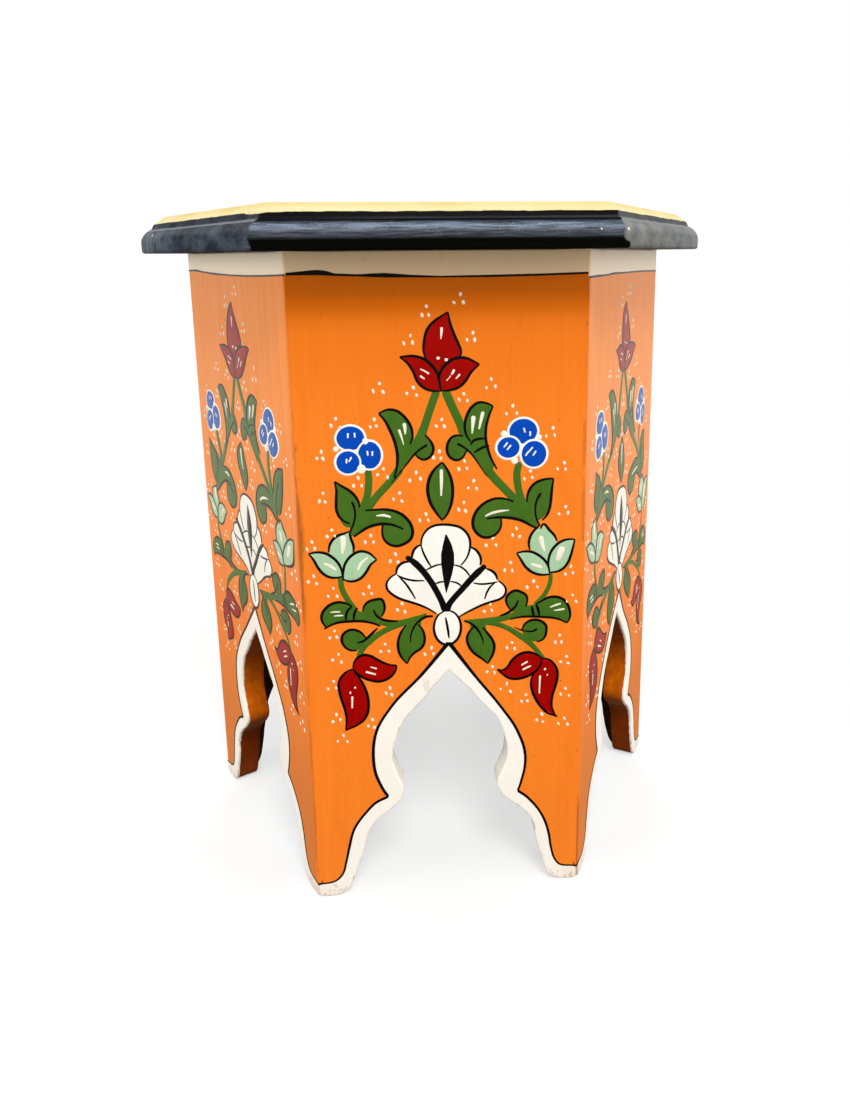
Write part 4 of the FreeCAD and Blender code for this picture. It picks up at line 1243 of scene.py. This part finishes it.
def top_finish():
    """Black, yellow and orange paint, with painted highlights, sheen and shade on the edges: how
    far a place is from the axis, measured square to the nearest edge, and how high it is decide the
    colour, and a waver follows the hand."""
    s = material("painted_top")
    x, y, z = (s.axis(name) for name in "XYZ")
    across, back, height = abs(x), abs(y), z - top_low.z
    slanted = across * math.sin(sixth) + back * math.cos(sixth)
    reach = s.math("MAXIMUM", back, slanted)
    along = s.noise((7, 420, 420), 4, 0.6)
    short = s.noise((60, 900, 900), 3, 0.6, shift=17)
    pores = s.noise((420, 420, 26), 4, 0.65, shift=3)
    clouds = s.noise((30, 30, 60), 3, 0.6, shift=8)
    fine = s.noise((1100, 1100, 1100), 3, 0.6, shift=13)
    waver = (s.noise((42, 42, 42), 2, shift=21) * (0.5 * mm)
             + s.noise((160, 160, 160), 2) * (0.2 * mm))
    end_grain = (slanted - back + clouds * (6 * mm) - 3 * mm).ramp(-1 * mm, 1 * mm)
    end_grain = end_grain * (slope_end[1] * mm - height).ramp(0, 0.2 * mm)

    # The glossy black of the front and back edges, with a painted highlight along the nose, painted
    # sheen below it, a painted light line on the step, painted glints on the nose and chips below
    # it.
    nose_highlight = height.near(12.6 * mm, 3.4 * mm, 0.6 * mm)
    under_nose_sheen = height.near(8.8 * mm, 3.4 * mm, 0.8 * mm)
    glints_and_chips = fine.ramp(0.86, 1)
    black = s.mix(along, tone(3, 3, 2), tone(9, 9, 8))
    # Painted light: a grey line along the step.
    black = s.mix(height.near(17.2 * mm, 1 * mm, 0.4 * mm) * along, black, tone(52, 54, 60))
    black = s.mix(under_nose_sheen * (short * 0.5 + 0.2), black, tone(96, 102, 112))
    black = s.mix(nose_highlight * (along * 0.3 + short * 0.7), black, tone(136, 149, 170))
    black = s.mix(nose_highlight * glints_and_chips * 0.5, black, tone(190, 200, 214))
    black = s.mix(under_nose_sheen * glints_and_chips * short * 0.7, black, tone(150, 142, 132))

    # The worn end grain of the slanted edges under a painted grey sheen: darker on the left and
    # lighter on the right for how light falls, palest at the corners, with a painted highlight
    # along the nose, painted shade on the step and pale specks of wear.
    wide = s.noise((48, 48, 120), 4, 0.65, shift=29)
    # Painted light: the sheen is lighter on the right edge than on the left.
    rightward = x.ramp(-50 * mm, 50 * mm)
    sheen_low_tone = s.mix(rightward, tone(26, 29, 36), tone(98, 99, 101))
    sheen_high_tone = s.mix(rightward, tone(80, 89, 101), tone(136, 136, 132))
    worn_grain_and_sheen = s.mix(pores * 0.18 + wide * 0.82, sheen_low_tone, sheen_high_tone)
    ends = across.ramp(172 * mm, 200 * mm) * s.noise((260, 260, 12), 3, 0.6, shift=5)
    worn_grain_and_sheen = s.mix(ends * 0.7, worn_grain_and_sheen, tone(128, 134, 142))
    # A painted highlight along the nose, then painted shade on the step.
    worn_grain_and_sheen = s.mix(height.near(15.8 * mm, 1 * mm, 0.2 * mm) * 0.7, worn_grain_and_sheen, tone(140, 142, 142))
    worn_grain_and_sheen = s.mix((height - 16.8 * mm).ramp(0, 0.8 * mm) * 0.6, worn_grain_and_sheen, tone(40, 42, 46))
    worn_grain_and_sheen = s.mix(fine.ramp(0.93, 1) * clouds.ramp(0.4, 0.8) * 0.5, worn_grain_and_sheen, tone(170, 168, 162))
    dark = s.mix(end_grain, black, worn_grain_and_sheen)
    for place, size in paint_chips:
        gap = s.node("ShaderNodeVectorMath", dict(operation="DISTANCE"), {0: s.place, 1: place},
                     "Value")
        chip = (gap + fine * (0.4 * mm)).ramp(size, size * 0.5)
        dark = s.mix(chip, dark, tone(236, 230, 216))

    # The yellow, deeper on the flat, and the orange in the middle.
    yellow = s.mix(along * 0.5 + clouds * 0.3, tone(234, 220, 174), tone(219, 199, 136))
    stains = s.noise((140, 140, 140), 4, 0.7, shift=33).ramp(0.86, 1)
    yellow = s.mix(stains * 0.35, yellow, tone(196, 168, 96))
    deep_yellow = s.mix(clouds, tone(230, 211, 144), tone(217, 192, 119))
    flat = (height + waver - 21.5 * mm).ramp(1 * mm, 3.5 * mm)
    yellow = s.mix(flat * 0.7, yellow, deep_yellow)
    orange = s.mix(along * 0.55 + pores * 0.2, tone(250, 128, 42), tone(255, 143, 60))
    inside = (top_apothem - margin * mm - reach + waver).ramp(0.4 * mm, 0.8 * mm)
    light = s.mix(inside, yellow, orange)
    run = abs(x + paint_run).ramp(9 * mm, 2 * mm) * (0 - y).ramp(150 * mm, 160 * mm)
    edge = height + waver + run * (0.9 * mm) - paint_change * mm
    colour = s.mix(edge.ramp(0.4 * mm, 0.7 * mm), dark, light)
    bumps = along * 0.5 + fine * 0.2 + end_grain * pores * 0.6
    return s.finish(colour, 0.34 + clouds * 0.10 + end_grain * 0.22, bumps, 0.22 * mm,
                    Coat_Weight=nose_highlight * 0.2 + 0.06, Sheen_Weight=0.0)


third = top_middle[1].y / mm
top_material = top_finish()
for place, cuts in (("front", (0, 1, (1, -third), 5)),
                    ("middle", ((-1, third), 1, 2, (1, third), 4, 5)),
                    ("back", ((-1, -third), 2, 3, 4))):
    top_board = skin("board_top_" + place, [(0, cut_board(cuts))], [top_material], sharp=28)
    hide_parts("top_board_" + place)
    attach(top_board, "root")


def on_top(rings, index, scale, start, low):
    """Brush work moved from the drawing to the top, smaller, and pointing away from the middle: up
    on the drawing runs outwards from low at the start, across it runs along the edge."""
    across, up, height = np.moveaxis(rings, -1, 0)
    points = np.stack([-across * scale, -start - (up - low) * scale, height], axis=-1)
    points = points.reshape(-1, 3) * mm + (0, 0, top_high.z - coat)
    return turned(points, index).reshape(rings.shape)


def top_places(scale, start, low, offset=0):
    """The six places of a motif on the top, over the sides or an offset on towards the corners."""
    return [lambda rings, index=number + offset: on_top(rings, index, scale, start, low)
            for number in range(sides)]


# The painting on the top: a ring of the body's own motifs round a rosette of leaves, and a black
# line between the orange and the yellow.
margin_corner = (top_apothem / mm - margin) * math.tan(sixth / 2)
margin_line = stroke("black", [(-margin_corner, 0), (0, 0), (margin_corner, 0)],
                     (2, 1.6, 2.2, 1.7, 2))
lay("top_margin_line", [margin_line], top_places(1, top_apothem / mm - margin, 0))
lay("top_rosette", middle_leaf, top_places(0.46, 3, 262))
lay("top_shells", shell, top_places(0.62, 23, 180))
sprays = top_places(0.5, 78, 262)
lay("top_vines", upper_vines, sprays)
lay("top_tulips", tulip, sprays)
lay("top_berries", berries, sprays)
left_flower, left_foot = side_flowers[:12], -62.3
corner_flower = [(colour, rings - (left_foot, 0, 0)) for colour, rings in left_flower]
lay("top_corner_flowers", corner_flower, top_places(0.8, 108, 208, 0.5))

# The view: the photograph's camera, plain soft light, a pale floor and a white surround.
view_place = Vector((-0.02657, -0.64158, 0.41805))
view_heading = -0.09157     # radians
view_pitch = 0.21638        # radians below level
view_roll = -0.00894        # radians
photo_size = (850, 1110)    # pixels
photo_centre = (472.88, 440.20)
lens_length = 27.215        # millimetres, on a sensor of 36

camera = bpy.data.objects.new("camera", bpy.data.cameras.new("camera"))
bpy.context.scene.collection.objects.link(camera)
forward = Vector((-math.sin(view_heading) * math.cos(view_pitch),
                  math.cos(view_heading) * math.cos(view_pitch), -math.sin(view_pitch)))
right = Vector((math.cos(view_heading), math.sin(view_heading), 0))
above = right.cross(forward)
tilt = (math.cos(view_roll), math.sin(view_roll))
rolled_right = right * tilt[0] + above * tilt[1]
rolled_above = above * tilt[0] - right * tilt[1]
camera.matrix_world = Matrix.Translation(view_place) @ Matrix(
    (rolled_right, rolled_above, -forward)).transposed().to_4x4()
camera.data.lens = lens_length
camera.data.sensor_width = 36
camera.data.shift_x = (photo_size[0] / 2 - photo_centre[0]) / photo_size[1]
camera.data.shift_y = (photo_centre[1] - photo_size[1] / 2) / photo_size[1]
camera.data.clip_start = 0.02
bpy.context.scene.camera = camera


def lamp(name, place, aim, size, power):
    """A square soft lamp that faces a point."""
    light = bpy.data.lights.new(name, "AREA")
    light.size, light.energy = size, power
    made = bpy.data.objects.new(name, light)
    made.matrix_world = Matrix.Translation(place) @ (
        Vector(aim) - Vector(place)).to_track_quat("-Z", "Y").to_matrix().to_4x4()
    bpy.context.scene.collection.objects.link(made)


lamp("key", (0.50, -4.00, 5.30), (0, 0, 0.25), 2.2, 286)
lamp("left", (-2.4, -0.9, 0.55), (0, 0, 0.30), 1.6, 31)
lamp("right", (2.4, -0.9, 0.75), (0, 0, 0.30), 1.6, 26)
lamp("back", (0, 2.4, 1.8), (0, 0, 0.3), 1.6, 24)

# The surround is white where it is seen, and gives less light than that.
surround = Shader(bpy.data.worlds.new("surround"))
surround_light = 0.46
surround.end(surround.node("ShaderNodeBackground", {}, {
    "Color": (1, 1, 1, 1), "Strength": surround.seen() * (1 - surround_light) + surround_light}),
    "ShaderNodeOutputWorld")
bpy.context.scene.world = surround.made

floor_half = 6.0
floor_mesh = bpy.data.meshes.new("floor")
floor_mesh.from_pydata([(x * floor_half, y * floor_half, 0)
                        for x, y in ((-1, -1), (1, -1), (1, 1), (-1, 1))], [], [(0, 1, 2, 3)])
floor = bpy.data.objects.new("floor", floor_mesh)
bpy.context.scene.collection.objects.link(floor)


def floor_finish():
    """A pale matt floor that gives way, away from the stool, to the white surround."""
    s = material("pale_floor")
    seen = s.seen()
    matt = s.node("ShaderNodeBsdfDiffuse", {}, {
        "Color": s.mix(seen, tone(140, 138, 134), tone(250, 250, 250))})
    away = s.node("ShaderNodeVectorMath", dict(operation="LENGTH"), {0: s.place}, "Value")
    open_air = s.node("ShaderNodeBsdfTransparent", {}, {})
    share = (0.6 + away.ramp(0.20, 0.60) * 0.4) * seen
    return s.end(s.node("ShaderNodeMixShader", {}, {0: share, 1: matt, 2: open_air}))


floor_mesh.materials.append(floor_finish())

bpy.context.scene.view_settings.view_transform = "Standard"
